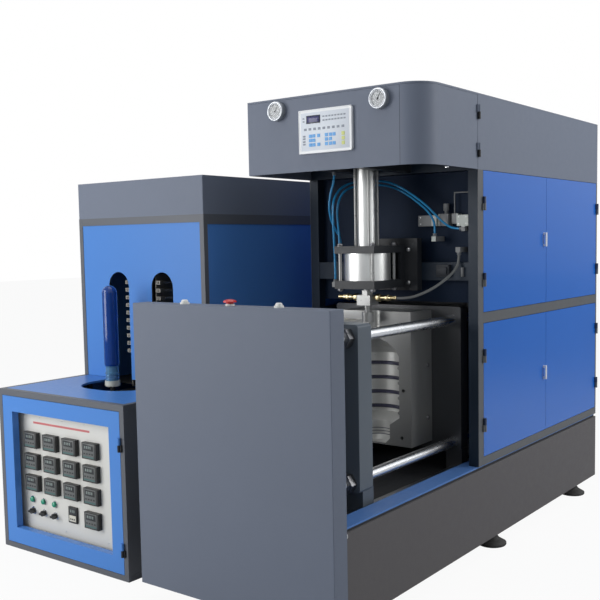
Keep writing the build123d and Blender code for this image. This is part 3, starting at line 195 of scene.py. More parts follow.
def blend_of(tree, share, a, b, kind="MIX"):
    """A colour mix of two colours, each a socket or a colour."""
    node = tree.nodes.new("ShaderNodeMix")
    node.data_type, node.blend_type = "RGBA", kind
    for place, value in zip((node.inputs[0], node.inputs[6], node.inputs[7]), (share, a, b)):
        if isinstance(value, (int, float, tuple)):
            place.default_value = value
        else:
            tree.links.new(value, place)
    return node.outputs[2]


def ramp_of(tree, value, low, high):
    """A smooth step from low to high."""
    node = tree.nodes.new("ShaderNodeMapRange")
    node.interpolation_type = "SMOOTHSTEP"
    node.inputs["From Min"].default_value = low
    node.inputs["From Max"].default_value = high
    tree.links.new(value, node.inputs["Value"])
    return node.outputs[0]


def noise_of(tree, place, scale, detail=2.0, rough=0.5):
    """Noise at a place, with a scale that is a socket or a number."""
    node = tree.nodes.new("ShaderNodeTexNoise")
    node.inputs["Detail"].default_value = detail
    node.inputs["Roughness"].default_value = rough
    tree.links.new(place, node.inputs["Vector"])
    if isinstance(scale, (int, float)):
        node.inputs["Scale"].default_value = scale
    else:
        tree.links.new(scale, node.inputs["Scale"])
    return node.outputs[0]


def make_paint_skin():
    """Paint: a fine or orange-peel surface, a faint cloudiness and a few rubbed spots."""
    tree, take, give = effect(
        "paint_skin",
        [("Colour", "colour"), ("Roughness", "number"), ("Grain", "number"), ("Cloud", "number"),
         ("Rubbed", "number")],
        [("Colour", "colour"), ("Roughness", "number"), ("Height", "number")],
    )
    where = tree.nodes.new("ShaderNodeTexCoord").outputs["Object"]
    fine = noise_of(tree, where, take.outputs["Grain"], 3.0, 0.6)
    broad = noise_of(tree, where, 3.1, 4.0, 0.55)
    middle = noise_of(tree, where, 38.0, 5.0, 0.7)
    cloud = sum_of(tree, "MULTIPLY", sum_of(tree, "SUBTRACT", broad, 0.5), take.outputs["Cloud"])
    speck = sum_of(tree, "MULTIPLY", sum_of(tree, "SUBTRACT", fine, 0.5), 0.16)
    level = sum_of(tree, "ADD", sum_of(tree, "ADD", cloud, speck), 1.0)
    tint = tree.nodes.new("ShaderNodeCombineColor")
    for place in tint.inputs[:3]:
        tree.links.new(level, place)
    shaded = blend_of(tree, 1.0, take.outputs["Colour"], tint.outputs[0], "MULTIPLY")
    worn = sum_of(tree, "MULTIPLY", ramp_of(tree, middle, 0.64, 0.72), take.outputs["Rubbed"])
    pale = blend_of(tree, worn, shaded, (0.45, 0.47, 0.5, 1))
    tree.links.new(pale, give.inputs["Colour"])
    dull = sum_of(tree, "MULTIPLY", sum_of(tree, "SUBTRACT", middle, 0.5), 0.22)
    rough = sum_of(tree, "ADD", take.outputs["Roughness"], sum_of(tree, "ADD", dull, cloud), True)
    tree.links.new(rough, give.inputs["Roughness"])
    tree.links.new(fine, give.inputs["Height"])
    return tree


def make_metal_skin():
    """Worked metal: streaks along one direction, and soft patches of handling."""
    tree, take, give = effect(
        "metal_skin",
        [("Colour", "colour"), ("Roughness", "number"), ("Streaks", "vector"), ("Depth", "number"),
         ("Patches", "number")],
        [("Colour", "colour"), ("Roughness", "number"), ("Height", "number")],
    )
    where = tree.nodes.new("ShaderNodeTexCoord").outputs["Object"]
    stretch = tree.nodes.new("ShaderNodeVectorMath")
    stretch.operation = "MULTIPLY"
    tree.links.new(where, stretch.inputs[0])
    tree.links.new(take.outputs["Streaks"], stretch.inputs[1])
    lines = noise_of(tree, stretch.outputs[0], 1.0, 3.0, 0.65)
    patch = noise_of(tree, where, 11.0, 4.0, 0.6)
    wave = sum_of(tree, "MULTIPLY", sum_of(tree, "SUBTRACT", lines, 0.5), take.outputs["Depth"])
    stain = sum_of(tree, "MULTIPLY", sum_of(tree, "SUBTRACT", patch, 0.5), take.outputs["Patches"])
    level = sum_of(tree, "ADD", sum_of(tree, "ADD", wave, stain), 1.0)
    tint = tree.nodes.new("ShaderNodeCombineColor")
    for place in tint.inputs[:3]:
        tree.links.new(level, place)
    tree.links.new(
        blend_of(tree, 1.0, take.outputs["Colour"], tint.outputs[0], "MULTIPLY"), give.inputs["Colour"]
    )
    rough = sum_of(tree, "SUBTRACT", take.outputs["Roughness"], sum_of(tree, "MULTIPLY", stain, 0.6))
    rough = sum_of(tree, "ADD", rough, sum_of(tree, "MULTIPLY", wave, 0.35), True)
    tree.links.new(rough, give.inputs["Roughness"])
    tree.links.new(lines, give.inputs["Height"])
    return tree


def make_dust_film():
    """Dust that lies on what faces up, and thickens towards the floor."""
    tree, take, give = effect(
        "dust_film",
        [("Colour", "colour"), ("Roughness", "number"), ("Amount", "number")],
        [("Colour", "colour"), ("Roughness", "number")],
    )
    spot = tree.nodes.new("ShaderNodeTexCoord")
    up = tree.nodes.new("ShaderNodeSeparateXYZ")
    tree.links.new(spot.outputs["Normal"], up.inputs[0])
    high = tree.nodes.new("ShaderNodeSeparateXYZ")
    tree.links.new(spot.outputs["Object"], high.inputs[0])
    speckle = noise_of(tree, spot.outputs["Object"], 64.0, 6.0, 0.75)
    lying = ramp_of(tree, up.outputs[2], 0.55, 0.95)
    low = ramp_of(tree, sum_of(tree, "SUBTRACT", 0.35, high.outputs[2]), 0.0, 0.35)
    place = sum_of(tree, "ADD", lying, sum_of(tree, "MULTIPLY", low, 0.7), True)
    share = sum_of(tree, "MULTIPLY", place, sum_of(tree, "MULTIPLY", speckle, take.outputs["Amount"]), True)
    dusty = blend_of(tree, share, take.outputs["Colour"], (0.30, 0.29, 0.27, 1))
    tree.links.new(dusty, give.inputs["Colour"])
    dull = sum_of(tree, "ADD", take.outputs["Roughness"], sum_of(tree, "MULTIPLY", share, 0.5), True)
    tree.links.new(dull, give.inputs["Roughness"])
    return tree


PAINT_SKIN, METAL_SKIN, DUST_FILM = make_paint_skin(), make_metal_skin(), make_dust_film()


def base_material(name, **sockets):
    """A material with one Principled surface and its plain values."""
    material = bpy.data.materials.new(name)
    material.use_nodes = True
    tree = material.node_tree
    surface = tree.nodes["Principled BSDF"]
    for label, value in sockets.items():
        surface.inputs[label.replace("_", " ")].default_value = value
    return material, tree, surface


def put_group(tree, group, **values):
    """A shared effect placed in a material, with its own values."""
    node = tree.nodes.new("ShaderNodeGroup")
    node.node_tree = group
    for label, value in values.items():
        node.inputs[label].default_value = value
    return node


def finish_with(tree, surface, skin, dust, lift, reach):
    """Joins a skin, its dust and its bump to the surface."""
    colour, rough = skin.outputs["Colour"], skin.outputs["Roughness"]
    if dust:
        film = put_group(tree, DUST_FILM, Amount=dust)
        tree.links.new(colour, film.inputs["Colour"])
        tree.links.new(rough, film.inputs["Roughness"])
        colour, rough = film.outputs["Colour"], film.outputs["Roughness"]
    tree.links.new(colour, surface.inputs["Base Color"])
    tree.links.new(rough, surface.inputs["Roughness"])
    bump = tree.nodes.new("ShaderNodeBump")
    bump.inputs["Strength"].default_value = lift
    bump.inputs["Distance"].default_value = reach
    tree.links.new(skin.outputs["Height"], bump.inputs["Height"])
    tree.links.new(bump.outputs[0], surface.inputs["Normal"])


def paint(name, colour, rough=0.45, grain=900.0, cloud=0.12, rubbed=0.0, dust=0.1, lift=0.12, **sockets):
    """Painted metal or moulded plastic."""
    material, tree, surface = base_material(name, **{"Specular_IOR_Level": 0.3, **sockets})
    skin = put_group(
        tree, PAINT_SKIN, Colour=(*colour, 1), Roughness=rough, Grain=grain, Cloud=cloud, Rubbed=rubbed
    )
    finish_with(tree, surface, skin, dust, lift, 0.0006)
    return material


def metal(
    name, colour, rough=0.3, streaks=(40, 900, 900), depth=0.12, patches=0.12, dust=0.0, lift=0.05, **sockets
):
    """Bare, plated or polished metal."""
    material, tree, surface = base_material(name, Metallic=1.0, **sockets)
    skin = put_group(
        tree, METAL_SKIN, Colour=(*colour, 1), Roughness=rough, Streaks=streaks, Depth=depth, Patches=patches
    )
    finish_with(tree, surface, skin, dust, lift, 0.0004)
    return material


def clear(name, colour, rough, through, alpha=1.0, **sockets):
    """Glass or clear resin."""
    material, tree, surface = base_material(
        name, Metallic=0.0, Transmission_Weight=through, Alpha=alpha, **sockets
    )
    skin = put_group(
        tree, PAINT_SKIN, Colour=(*colour, 1), Roughness=rough, Grain=60.0, Cloud=0.1, Rubbed=0.0
    )
    finish_with(tree, surface, skin, 0.0, 0.004, 0.0002)
    return material


HEAD_GREY = paint("head_grey", (0.153, 0.176, 0.230), 0.55, 1500.0, 0.08, 0.0, 0.06, 0.3)
GREY_TEXTURE = paint("textured_grey", (0.135, 0.156, 0.205), 0.55, 1500.0, 0.08, 0.0, 0.06, 0.3)
BASE_GREY = paint("base_grey", (0.096, 0.089, 0.091), 0.5, 1400.0, 0.08, 0.0, 0.12, 0.25)
FRAME_GREY = paint("frame_grey", (0.100, 0.105, 0.112), 0.42, 1500.0, 0.06, 0.0, 0.06, 0.05)
PANEL_BLUE = paint(
    "panel_blue", (0.012, 0.132, 0.540), 0.22, 2200.0, 0.03, 0.0, 0.02, 0.012,
    Specular_IOR_Level=0.45, Coat_Weight=0.15,
)
HEATER_BLUE = paint(
    "heater_blue", (0.080, 0.232, 0.600), 0.32, 2200.0, 0.03, 0.0, 0.02, 0.012, Specular_IOR_Level=0.15
)
RAIL_BLUE = paint("rail_blue", (0.075, 0.190, 0.480), 0.36, 1500.0, 0.10, 0.0, 0.10, 0.03)
PLATEN_GREY = paint("platen_grey", (0.105, 0.125, 0.150), 0.40, 1500.0, 0.10, 0.0, 0.06, 0.08)
DARK_CAST = paint("dark_casting", (0.030, 0.034, 0.042), 0.50, 1300.0, 0.15, 0.0, 0.06, 0.20)
# The partition inside the cabinet, near black: painted shade for the cabinet's dark inside
INNER_SHADE_DARK = paint(
    "inner_dark", (0.008, 0.017, 0.038), 0.6, 900.0, 0.15, 0.0, 0.05, 0.08, Specular_IOR_Level=0.12
)
BRACKET_DARK = paint("bracket_dark", (0.026, 0.028, 0.032), 0.42, 500.0, 0.25, 0.08, 0.12, 0.2)
HINGE_BLACK = paint("hinge_black", (0.014, 0.014, 0.016), 0.38, 700.0, 0.15, 0.06, 0.05, 0.1)
RUBBER_BLACK = paint("foot_rubber", (0.018, 0.018, 0.020), 0.62, 900.0, 0.2, 0.0, 0.3, 0.2)
OVEN_DARK = paint("oven_dark", (0.050, 0.050, 0.048), 0.60, 500.0, 0.3, 0.0, 0.2, 0.2)
CHROME = metal("hard_chrome", (0.86, 0.87, 0.89), 0.27, (700, 26, 700), 0.05, 0.06)
ROD_CHROME = metal("rod_chrome", (0.86, 0.87, 0.89), 0.10, (700, 700, 26), 0.05, 0.06)
BRIGHT_PLATE = metal("bright_plating", (0.62, 0.63, 0.65), 0.18, (400, 400, 400), 0.06, 0.10)
BARREL_SILVER = metal("polished_barrel", (0.84, 0.84, 0.82), 0.38, (900, 900, 18), 0.10, 0.06)
CYLINDER_SILVER = metal("anodised_cylinder", (0.66, 0.67, 0.68), 0.32, (700, 20, 700), 0.10, 0.10)
PLATE_SILVER = paint(
    "instrument_plate", (0.66, 0.65, 0.61), 0.40, 900.0, 0.05, 0.0, 0.03, 0.05, Metallic=0.15
)
MOULD_BRIGHT = paint(
    "mould_aluminium", (0.30, 0.30, 0.295), 0.34, 1800.0, 0.16, 0.0, 0.0, 0.05, Metallic=0.5
)
STEEL_CAST = paint(
    "machined_casting", (0.060, 0.062, 0.066), 0.40, 1500.0, 0.15, 0.0, 0.04, 0.10, Metallic=0.4
)
GAUGE_STEEL = paint("gauge_steel", (0.30, 0.32, 0.35), 0.30, 900.0, 0.04, 0.0, 0.0, 0.03, Metallic=0.3)
GAUGE_RING = paint("gauge_ring", (0.52, 0.54, 0.57), 0.22, 900.0, 0.04, 0.0, 0.0, 0.02, Metallic=0.3)
HOLDER_CREAM = paint("holder_cream", (0.56, 0.58, 0.54), 0.42, 900.0, 0.08, 0.0, 0.05, 0.08)
HEATER_FRAME = paint("heater_frame_grey", (0.105, 0.112, 0.128), 0.42, 500.0, 0.10, 0.03, 0.12, 0.12)
GROUND_STEEL = metal("ground_steel", (0.56, 0.57, 0.59), 0.30, (900, 14, 900), 0.14, 0.2, 0.1)
NUT_STEEL = metal("blackened_steel", (0.22, 0.22, 0.23), 0.36, (300, 300, 300), 0.2, 0.35, 0.1)
TURNED_STEEL = paint("turned_steel", (0.36, 0.36, 0.355), 0.30, 1500.0, 0.12, 0.0, 0.0, 0.05, Metallic=0.5)
FITTING_BRASS = metal("fitting_brass", (0.50, 0.42, 0.25), 0.28, (500, 200, 200), 0.10, 0.2)
VALVE_METAL = paint("valve_bodies", (0.20, 0.205, 0.21), 0.42, 1200.0, 0.12, 0.0, 0.05, 0.15)
RACK_STEEL = paint("rack_steel", (0.20, 0.19, 0.17), 0.45, 900.0, 0.3, 0.0, 0.1, 0.2, Metallic=0.4)
WHITE_PLASTIC = paint("white_plastic", (0.78, 0.78, 0.75), 0.32, 500.0, 0.05, 0.0, 0.05, 0.03)
KEYPAD_WHITE = paint("keypad_white", (0.90, 0.91, 0.92), 0.40, 900.0, 0.04, 0.0, 0.0, 0.05)
RED_PLASTIC = paint("red_plastic", (0.56, 0.030, 0.028), 0.26, 400.0, 0.08, 0.0, 0.06, 0.03, Coat_Weight=0.3)
BLACK_PLASTIC = paint("black_plastic", (0.016, 0.017, 0.019), 0.42, 900.0, 0.1, 0.0, 0.08, 0.12)
METER_CASE = paint("meter_case", (0.028, 0.028, 0.028), 0.46, 1200.0, 0.1, 0.0, 0.05, 0.15)
GREEN_LENS = paint("green_lens", (0.025, 0.28, 0.17), 0.16, 200.0, 0.2, 0.0, 0.0, 0.05, Coat_Weight=0.4)
HOSE_BLUE = paint("hose_blue", (0.020, 0.230, 0.480), 0.22, 1200.0, 0.1, 0.0, 0.0, 0.02, Coat_Weight=0.2)
HOSE_GREY = paint("hose_grey", (0.150, 0.155, 0.155), 0.42, 700.0, 0.1, 0.0, 0.05, 0.15)
RESIN_BLUE = clear("preform_resin", (0.012, 0.085, 0.40), 0.06, 0.5, IOR=1.45)
QUARTZ = clear("quartz_tube", (0.86, 0.84, 0.80), 0.08, 0.8, IOR=1.45)
GAUGE_GLASS = clear("gauge_glass", (0.95, 0.97, 0.98), 0.03, 1.0, 0.14, IOR=1.3)

# ---------------------------------------------------------------- finishes by place
def inside(tree, spans):
    """1 between levels such as ("X", 0.98, 2.0) of the shared frame, in metres, and 0 elsewhere."""
    where = tree.nodes.new("ShaderNodeSeparateXYZ")
    tree.links.new(tree.nodes.new("ShaderNodeTexCoord").outputs["Object"], where.inputs[0])
    share = 1.0
    for axis, low, high in spans:
        value = where.outputs["XYZ".index(axis)]
        share = sum_of(tree, "MULTIPLY", share, sum_of(tree, "GREATER_THAN", value, low))
        share = sum_of(tree, "MULTIPLY", share, sum_of(tree, "LESS_THAN", value, high))
    return share


def repaint(material, colour, rough, metallic, *boxes):
    """Gives a material another colour and gloss inside boxes of the shared frame."""
    tree = material.node_tree
    surface = tree.nodes["Principled BSDF"]
    skin = next(node for node in tree.nodes if node.type == "GROUP" and "Colour" in node.inputs)
    share = 0.0
    for spans in boxes:
        share = sum_of(tree, "MAXIMUM", share, inside(tree, spans))
    old = skin.inputs["Colour"]
    before = old.links[0].from_socket if old.is_linked else tuple(old.default_value)
    tree.links.new(blend_of(tree, share, before, (*colour, 1)), old)
    for old, value in ((skin.inputs["Roughness"], rough), (surface.inputs["Metallic"], metallic)):
        before = old.links[0].from_socket if old.is_linked else old.default_value
        kept = sum_of(tree, "MULTIPLY", before, sum_of(tree, "SUBTRACT", 1.0, share))
        tree.links.new(sum_of(tree, "ADD", kept, sum_of(tree, "MULTIPLY", share, value)), old)


# The spindle's dark stem under its pale holder
repaint(HOLDER_CREAM, (0.045, 0.047, 0.05), 0.4, 0.4, (("Z", 0.0, 0.754),))

# The preform's paler neck, and a painted sheen that lightens its sides towards the edges
repaint(RESIN_BLUE, (0.17, 0.38, 0.58), 0.12, 0.0, (("Z", 0.0, 0.8555),))
resin = RESIN_BLUE.node_tree
edge = resin.nodes.new("ShaderNodeLayerWeight")
edge.inputs["Blend"].default_value = 0.35
tinted = resin.nodes["Principled BSDF"].inputs["Base Color"]
painted_side_sheen = ramp_of(resin, edge.outputs["Facing"], 0.30, 0.95)
resin.links.new(blend_of(resin, painted_side_sheen, tinted.links[0].from_socket, (0.06, 0.24, 0.62, 1)), tinted)

# The oven's grey inside
repaint(
    HEATER_BLUE, (0.10, 0.10, 0.088), 0.5, 0.0,
    (("X", -0.9985, -0.1415), ("Y", -0.7015, 0.5), ("Z", 0.80, 1.60)),
)

# The mould's polished cavities, paler partly for their polish and partly as a painted highlight; their dark
# ribs and thin rings at the foot, painted shade
CAVITY_WIDTH = ("X", 0.398, 0.659)
CAVITY = (CAVITY_WIDTH, ("Z", 0.51, 1.2))
FRONT_HALF, REAR_HALF = ("Y", -1.0, -0.6778), ("Y", -0.2972, 0.0)
repaint(MOULD_BRIGHT, (0.56, 0.56, 0.54), 0.32, 0.35, CAVITY + (REAR_HALF,), CAVITY + (FRONT_HALF,))
# Painted shade: dark bands for the ribs, and thin dark rings for the thread at the foot
repaint(
    MOULD_BRIGHT, (0.060, 0.060, 0.095), 0.30, 0.3,
    *[(CAVITY_WIDTH, REAR_HALF, ("Z", low, low + 0.016)) for low in (0.651, 0.719, 0.787, 0.855)],
    *[(("X", 0.44, 0.617), REAR_HALF, ("Z", low, low + 0.003)) for low in (0.534, 0.548, 0.562)],
)

# The cabinet's navy inside, which is painted shade under the head's overhang; and the base frame, blue on
# its upper edge alone
repaint(FRAME_GREY, (0.010, 0.020, 0.036), 0.5, 0.0, (("X", 0.0765, 0.9805), ("Y", -2, 1.285)))
# Below its upper edge the base frame is painted near black: painted shade in the well under the deck
repaint(
    RAIL_BLUE, (0.020, 0.022, 0.026), 0.5, 0.0,
    (("Z", -1, 0.4185),), (("X", 0.088, 0.969), ("Z", -1, 0.4235)),
)

# Two paler valves
repaint(
    VALVE_METAL, (0.50, 0.53, 0.50), 0.45, 0.0,
    (("X", 0.87, 0.94), ("Z", 1.486, 1.6)), (("X", 0.75, 0.79), ("Y", -0.2, 0)),
)

# What stands out from the doors: dark hinge halves and pale pulls; and the posts' grey hinge halves
OUT_OF_DOORS = ("X", 0.9832, 2)
repaint(PANEL_BLUE, (0.018, 0.030, 0.075), 0.35, 0.0, (OUT_OF_DOORS, ("Y", -0.3, 2)))
repaint(PANEL_BLUE, (0.80, 0.81, 0.83), 0.22, 0.3, (OUT_OF_DOORS, ("Y", 0.515, 0.585)))
repaint(HINGE_BLACK, (0.13, 0.132, 0.135), 0.4, 0.0, (("X", 0.5, 2), ("Z", 0.3, 1.72)))


# ---------------------------------------------------------------- finishes of the CAD nodes
COATS = {
    "levelling_feet": RUBBER_BLACK, "base_frame": RAIL_BLUE, "base_covers": BASE_GREY,
    "guide_rails": GROUND_STEEL, "desk_shell": GREY_TEXTURE, "button_collars": WHITE_PLASTIC,
    "palm_button_left": WHITE_PLASTIC, "palm_button_right": WHITE_PLASTIC, "stop_button": RED_PLASTIC,
    "cabinet_frame": FRAME_GREY, "fixed_panels": PANEL_BLUE, "partition_panel": INNER_SHADE_DARK,
    "crown_panels": HEAD_GREY, "hinge_barrels": HINGE_BLACK, "front_lower_door": PANEL_BLUE,
    "front_upper_door": PANEL_BLUE, "rear_lower_door": PANEL_BLUE, "rear_upper_door": PANEL_BLUE,
    "head_cover": HEAD_GREY, "control_panel": KEYPAD_WHITE, "pressure_gauges": GAUGE_STEEL,
    "front_platen": PLATEN_GREY, "front_mould": MOULD_BRIGHT, "rear_mould": MOULD_BRIGHT,
    "tie_bars": CHROME, "tie_bar_nuts": NUT_STEEL, "tail_yoke": DARK_CAST, "rear_platen": STEEL_CAST,
    "cross_plate": STEEL_CAST, "clamp_rod": CHROME, "lock_rod": CHROME, "clamp_cylinders": CYLINDER_SILVER,
    "cylinder_barrels": BARREL_SILVER, "cylinder_tie_rods": TURNED_STEEL, "column_supports": BRACKET_DARK,
    "nozzle_block": TURNED_STEEL, "nozzle_fittings": FITTING_BRASS, "stretch_rod": ROD_CHROME,
    "valve_bank": VALVE_METAL, "air_hose_lower": HOSE_BLUE, "air_hose_upper": HOSE_BLUE,
    "air_hose_left": HOSE_BLUE, "blow_hose": HOSE_GREY, "heater_frame": HEATER_FRAME,
    "oven_panels": HEATER_BLUE, "table_top": HEATER_BLUE, "control_door": HEATER_BLUE,
    "oven_hood": HEAD_GREY, "instrument_panel": PLATE_SILVER, "panel_meters": METER_CASE,
    "pilot_lamps": GREEN_LENS, "selector_left": BLACK_PLASTIC, "selector_middle": BLACK_PLASTIC,
    "selector_right": BLACK_PLASTIC, "transport_bed": OVEN_DARK, "carrier_wheel": NUT_STEEL,
    "spindle": HOLDER_CREAM, "preform": RESIN_BLUE, "lamp_racks": RACK_STEEL, "quartz_lamps": QUARTZ,
}
for node, material in COATS.items():
    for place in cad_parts[node].material_slots:
        place.material = material


# ---------------------------------------------------------------- piece makers
def settle(mesh, name, body, *finishes, smooth=32):
    """Closes a finished mesh, gives it its materials and hangs it on its body."""
    bmesh.ops.remove_doubles(mesh, verts=mesh.verts, dist=2e-6)
    bmesh.ops.recalc_face_normals(mesh, faces=mesh.faces)
    data = bpy.data.meshes.new(name)
    mesh.to_mesh(data)
    mesh.free()
    for finish in finishes:
        data.materials.append(finish)
    for face in data.polygons:
        face.use_smooth = True
    data.set_sharp_from_angle(angle=radians(smooth))
    piece = bpy.data.objects.new(name, data)
    bpy.context.scene.collection.objects.link(piece)
    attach(piece, body)
    return piece


def give_finish(mesh, known, finish):
    """Marks the faces added since known with a material number."""
    for face in mesh.faces:
        if face not in known:
            face.material_index = finish


def add_block(mesh, low, high, soft=0.6, finish=0):
    """A block between two corners in metres, its edges rounded by soft mm."""
    known = set(mesh.faces)
    corners = bmesh.ops.create_cube(mesh, size=1)["verts"]
    size = Vector([abs(b - a) for a, b in zip(low, high)])
    bmesh.ops.scale(mesh, vec=size, verts=corners)
    bmesh.ops.translate(mesh, vec=(Vector(low) + Vector(high)) / 2, verts=corners)
    if soft:
        edges = {edge for vert in corners for edge in vert.link_edges}
        bmesh.ops.bevel(
            mesh, geom=list(edges), offset=soft / 1000, segments=2, profile=0.5, affect="EDGES", material=-1
        )
    give_finish(mesh, known, finish)


def standing(place, along):
    """The matrix that sets a shape drawn along +Z at a place, along another direction."""
    return Matrix.Translation(place) @ Vector(along).to_track_quat("Z", "Y").to_matrix().to_4x4()


def add_turned(mesh, place, along, profile, steps=24, finish=0, closed=False):
    """A turned shape from (radius, height) pairs in mm; a closed profile makes a ring."""
    known = set(mesh.faces)
    verts = [mesh.verts.new((radius / 1000, 0, height / 1000)) for radius, height in profile]
    pairs = list(zip(verts, verts[1:])) + ([(verts[-1], verts[0])] if closed else [])
    edges = [mesh.edges.new(pair) for pair in pairs]
    started = set(mesh.verts) - set(verts)
    bmesh.ops.spin(
        mesh, geom=verts + edges, cent=(0, 0, 0), axis=(0, 0, 1), angle=2 * pi, steps=steps, use_merge=True
    )
    made = [vert for vert in mesh.verts if vert not in started]
    bmesh.ops.transform(mesh, matrix=standing(place, along), verts=made)
    give_finish(mesh, known, finish)


def add_screw(mesh, place, along, radius, height, finish=0):
    """A pan-head screw with a round recess."""
    profile = [
        (0, -0.2), (radius, -0.2), (radius, height * 0.45), (radius * 0.86, height * 0.85),
        (radius * 0.5, height), (radius * 0.42, height * 0.45), (0, height * 0.4),
    ]
    add_turned(mesh, place, along, profile, 12, finish)


def add_prism(mesh, spot, across, depth, soft):
    """A six-sided bar with rounded edges along its matrix's Z, its sizes in metres."""
    made = bmesh.ops.create_cone(
        mesh, cap_ends=True, segments=6, radius1=across, radius2=across, depth=depth, matrix=spot
    )
    edges = {edge for vert in made["verts"] for edge in vert.link_edges}
    bmesh.ops.bevel(
        mesh, geom=list(edges), offset=soft, segments=2, profile=0.5, affect="EDGES", material=-1
    )


def add_hex(mesh, place, along, flats, height, finish=0, turn=0.0):
    """A hexagon nut or head with chamfered corners, and a round end on its thread."""
    known = set(mesh.faces)
    across = flats / 2000 / cos(pi / 6)
    spot = standing(place, along) @ Matrix.Rotation(radians(turn), 4, "Z")
    lift = Matrix.Translation((0, 0, height / 2000))
    add_prism(mesh, spot @ lift, across, height / 1000, flats / 14000)
    give_finish(mesh, known, finish)
    thread, end = flats * 0.29, height + 2
    top = [(0, height - 0.5), (thread, height - 0.5), (thread, height + 1.2), (thread * 0.8, end), (0, end)]
    add_turned(mesh, place, along, top, 14, finish)


FRONT = (0, -1, 0)
UP = (0, 0, 1)
DOWN = (0, 0, -1)
RIGHT = (1, 0, 0)
LEFT = (-1, 0, 0)

PANEL_FIELD = paint("keypad_field", (0.70, 0.74, 0.80), 0.36, 900.0, 0.04, 0.0, 0.0, 0.04)
PANEL_NAVY = paint("display_frame", (0.020, 0.025, 0.055), 0.25, 700.0, 0.06, 0.0, 0.0, 0.03)
SCREEN_VIOLET = paint(
    "display_screen", (0.040, 0.038, 0.130), 0.12, 300.0, 0.15, 0.0, 0.0, 0.02,
    Emission_Color=(0.16, 0.16, 0.42, 1), Emission_Strength=0.06,
)
KEY_BLUE = paint("keypad_blue", (0.14, 0.40, 0.78), 0.35, 900.0, 0.06, 0.0, 0.0, 0.05)
KEY_LIME = paint("keypad_lime", (0.62, 0.66, 0.22), 0.35, 900.0, 0.06, 0.0, 0.0, 0.05)
MARK_GREY = paint("keypad_marks", (0.26, 0.29, 0.34), 0.4, 900.0, 0.06, 0.0, 0.0, 0.05)
DIAL_WHITE = paint("gauge_dial", (0.46, 0.47, 0.48), 0.45, 900.0, 0.03, 0.0, 0.0, 0.03)
DIAL_BLACK = paint("gauge_marks", (0.02, 0.02, 0.022), 0.4, 900.0, 0.03, 0.0, 0.0, 0.03)
METER_FACE = paint("meter_face", (0.120, 0.126, 0.124), 0.38, 900.0, 0.08, 0.0, 0.03, 0.05)
METER_SCREEN = paint("meter_screen", (0.040, 0.042, 0.044), 0.18, 900.0, 0.1, 0.0, 0.0, 0.02)
METER_TEAL = paint("meter_teal", (0.065, 0.130, 0.125), 0.38, 900.0, 0.08, 0.0, 0.0, 0.05)
DIGIT_GREEN = paint(
    "meter_digits", (0.20, 0.23, 0.22), 0.3, 900.0, 0.05, 0.0, 0.0, 0.02,
    Emission_Color=(0.20, 0.60, 0.42, 1), Emission_Strength=0.02,
)
RELAY_CREAM = paint("relay_cream", (0.58, 0.56, 0.48), 0.4, 900.0, 0.06, 0.0, 0.03, 0.05)
HEADING_RED = paint("heading_red", (0.55, 0.16, 0.16), 0.4, 900.0, 0.1, 0.0, 0.0, 0.03)
# The colour of the thin dark line down the head's rounded corner
CORNER_LINE_DARK = paint("corner_line_dark", (0.010, 0.011, 0.013), 0.6, 900.0, 0.1, 0.0, 0.0, 0.05)
SCREW_STEEL = metal("screw_steel", (0.62, 0.62, 0.62), 0.28, (300, 300, 300), 0.1, 0.15)
PUSH_GREY = paint("fitting_collar", (0.16, 0.17, 0.18), 0.36, 700.0, 0.1, 0.0, 0.0, 0.08)
NECK_CLEAR = clear("neck_resin", (0.30, 0.52, 0.86), 0.10, 0.75, IOR=1.5)
CERAMIC = paint("lamp_ceramic", (0.15, 0.145, 0.125), 0.5, 700.0, 0.3, 0.0, 0.1, 0.2, Metallic=0.2)


# ---------------------------------------------------------------- key panel on the head
def front_tab(mesh, place, x, z, wide, high, back, out, soft, finish):
    """A flat block on a front face: its middle, size, the face's y and how far it stands out, in mm."""
    add_block(
        mesh,
        place(x - wide / 2, back - out, z - high / 2),
        place(x + wide / 2, back + 0.1, z + high / 2),
        soft,
        finish,
    )


KEYPAD_FACE = 675.0
FIELD_FACE = 674.4
mesh = bmesh.new()
front_tab(mesh, press, -20, 1896, 250, 159, KEYPAD_FACE, 0.6, 0.3, 0)
for x in (-155.2, 115.2):
    front_tab(mesh, press, x, 1896, 3.6, 182, KEYPAD_FACE, 1.6, 0.7, 1)
for z in (1806.4, 1985.6):
    front_tab(mesh, press, -20, z, 274, 3.6, KEYPAD_FACE, 1.6, 0.7, 1)
settle(mesh, "key_panel_field", "head_cover_set", PANEL_FIELD, KEYPAD_WHITE)

mesh = bmesh.new()
front_tab(mesh, press, -78.75, 1946.2, 72, 33.2, FIELD_FACE, 2.4, 0.8, 0)
front_tab(mesh, press, -78.75, 1946.2, 60, 22, 672.0, 0.4, 0.15, 1)
settle(mesh, "key_panel_display", "head_cover_set", PANEL_NAVY, SCREEN_VIOLET)

mesh = bmesh.new()
for z in (1952.4, 1940):
    front_tab(mesh, press, -130.4, z, 10, 5, FIELD_FACE, 0.5, 0.2, 0)
for z in (1954, 1938.5):
    for step in range(8):
        front_tab(mesh, press, -25 + 15.3 * step, z, 11, 6, FIELD_FACE, 0.6, 0.25, 0)
for step in range(9):
    front_tab(mesh, press, -121.6 + 24.36 * step, 1906, 14, 10, FIELD_FACE, 0.7, 0.3, 0)
for z in (1877.7, 1867.4, 1855.5, 1844.4):
    front_tab(mesh, press, -128.5, z, 14, 7, FIELD_FACE, 0.6, 0.25, 0)
for x in (-95, -77.3, -51.7, -11.3, 9.4, 28):
    for z in (1877, 1859, 1840):
        if z != 1859 or x not in (-51.7, 28):
            front_tab(mesh, press, x, z, 16, 14, FIELD_FACE, 1.2, 0.5, 1)
for z in (1876.6, 1857.3, 1838):
    front_tab(mesh, press, 74.3, z, 16, 15, FIELD_FACE, 1.2, 0.5, 2)
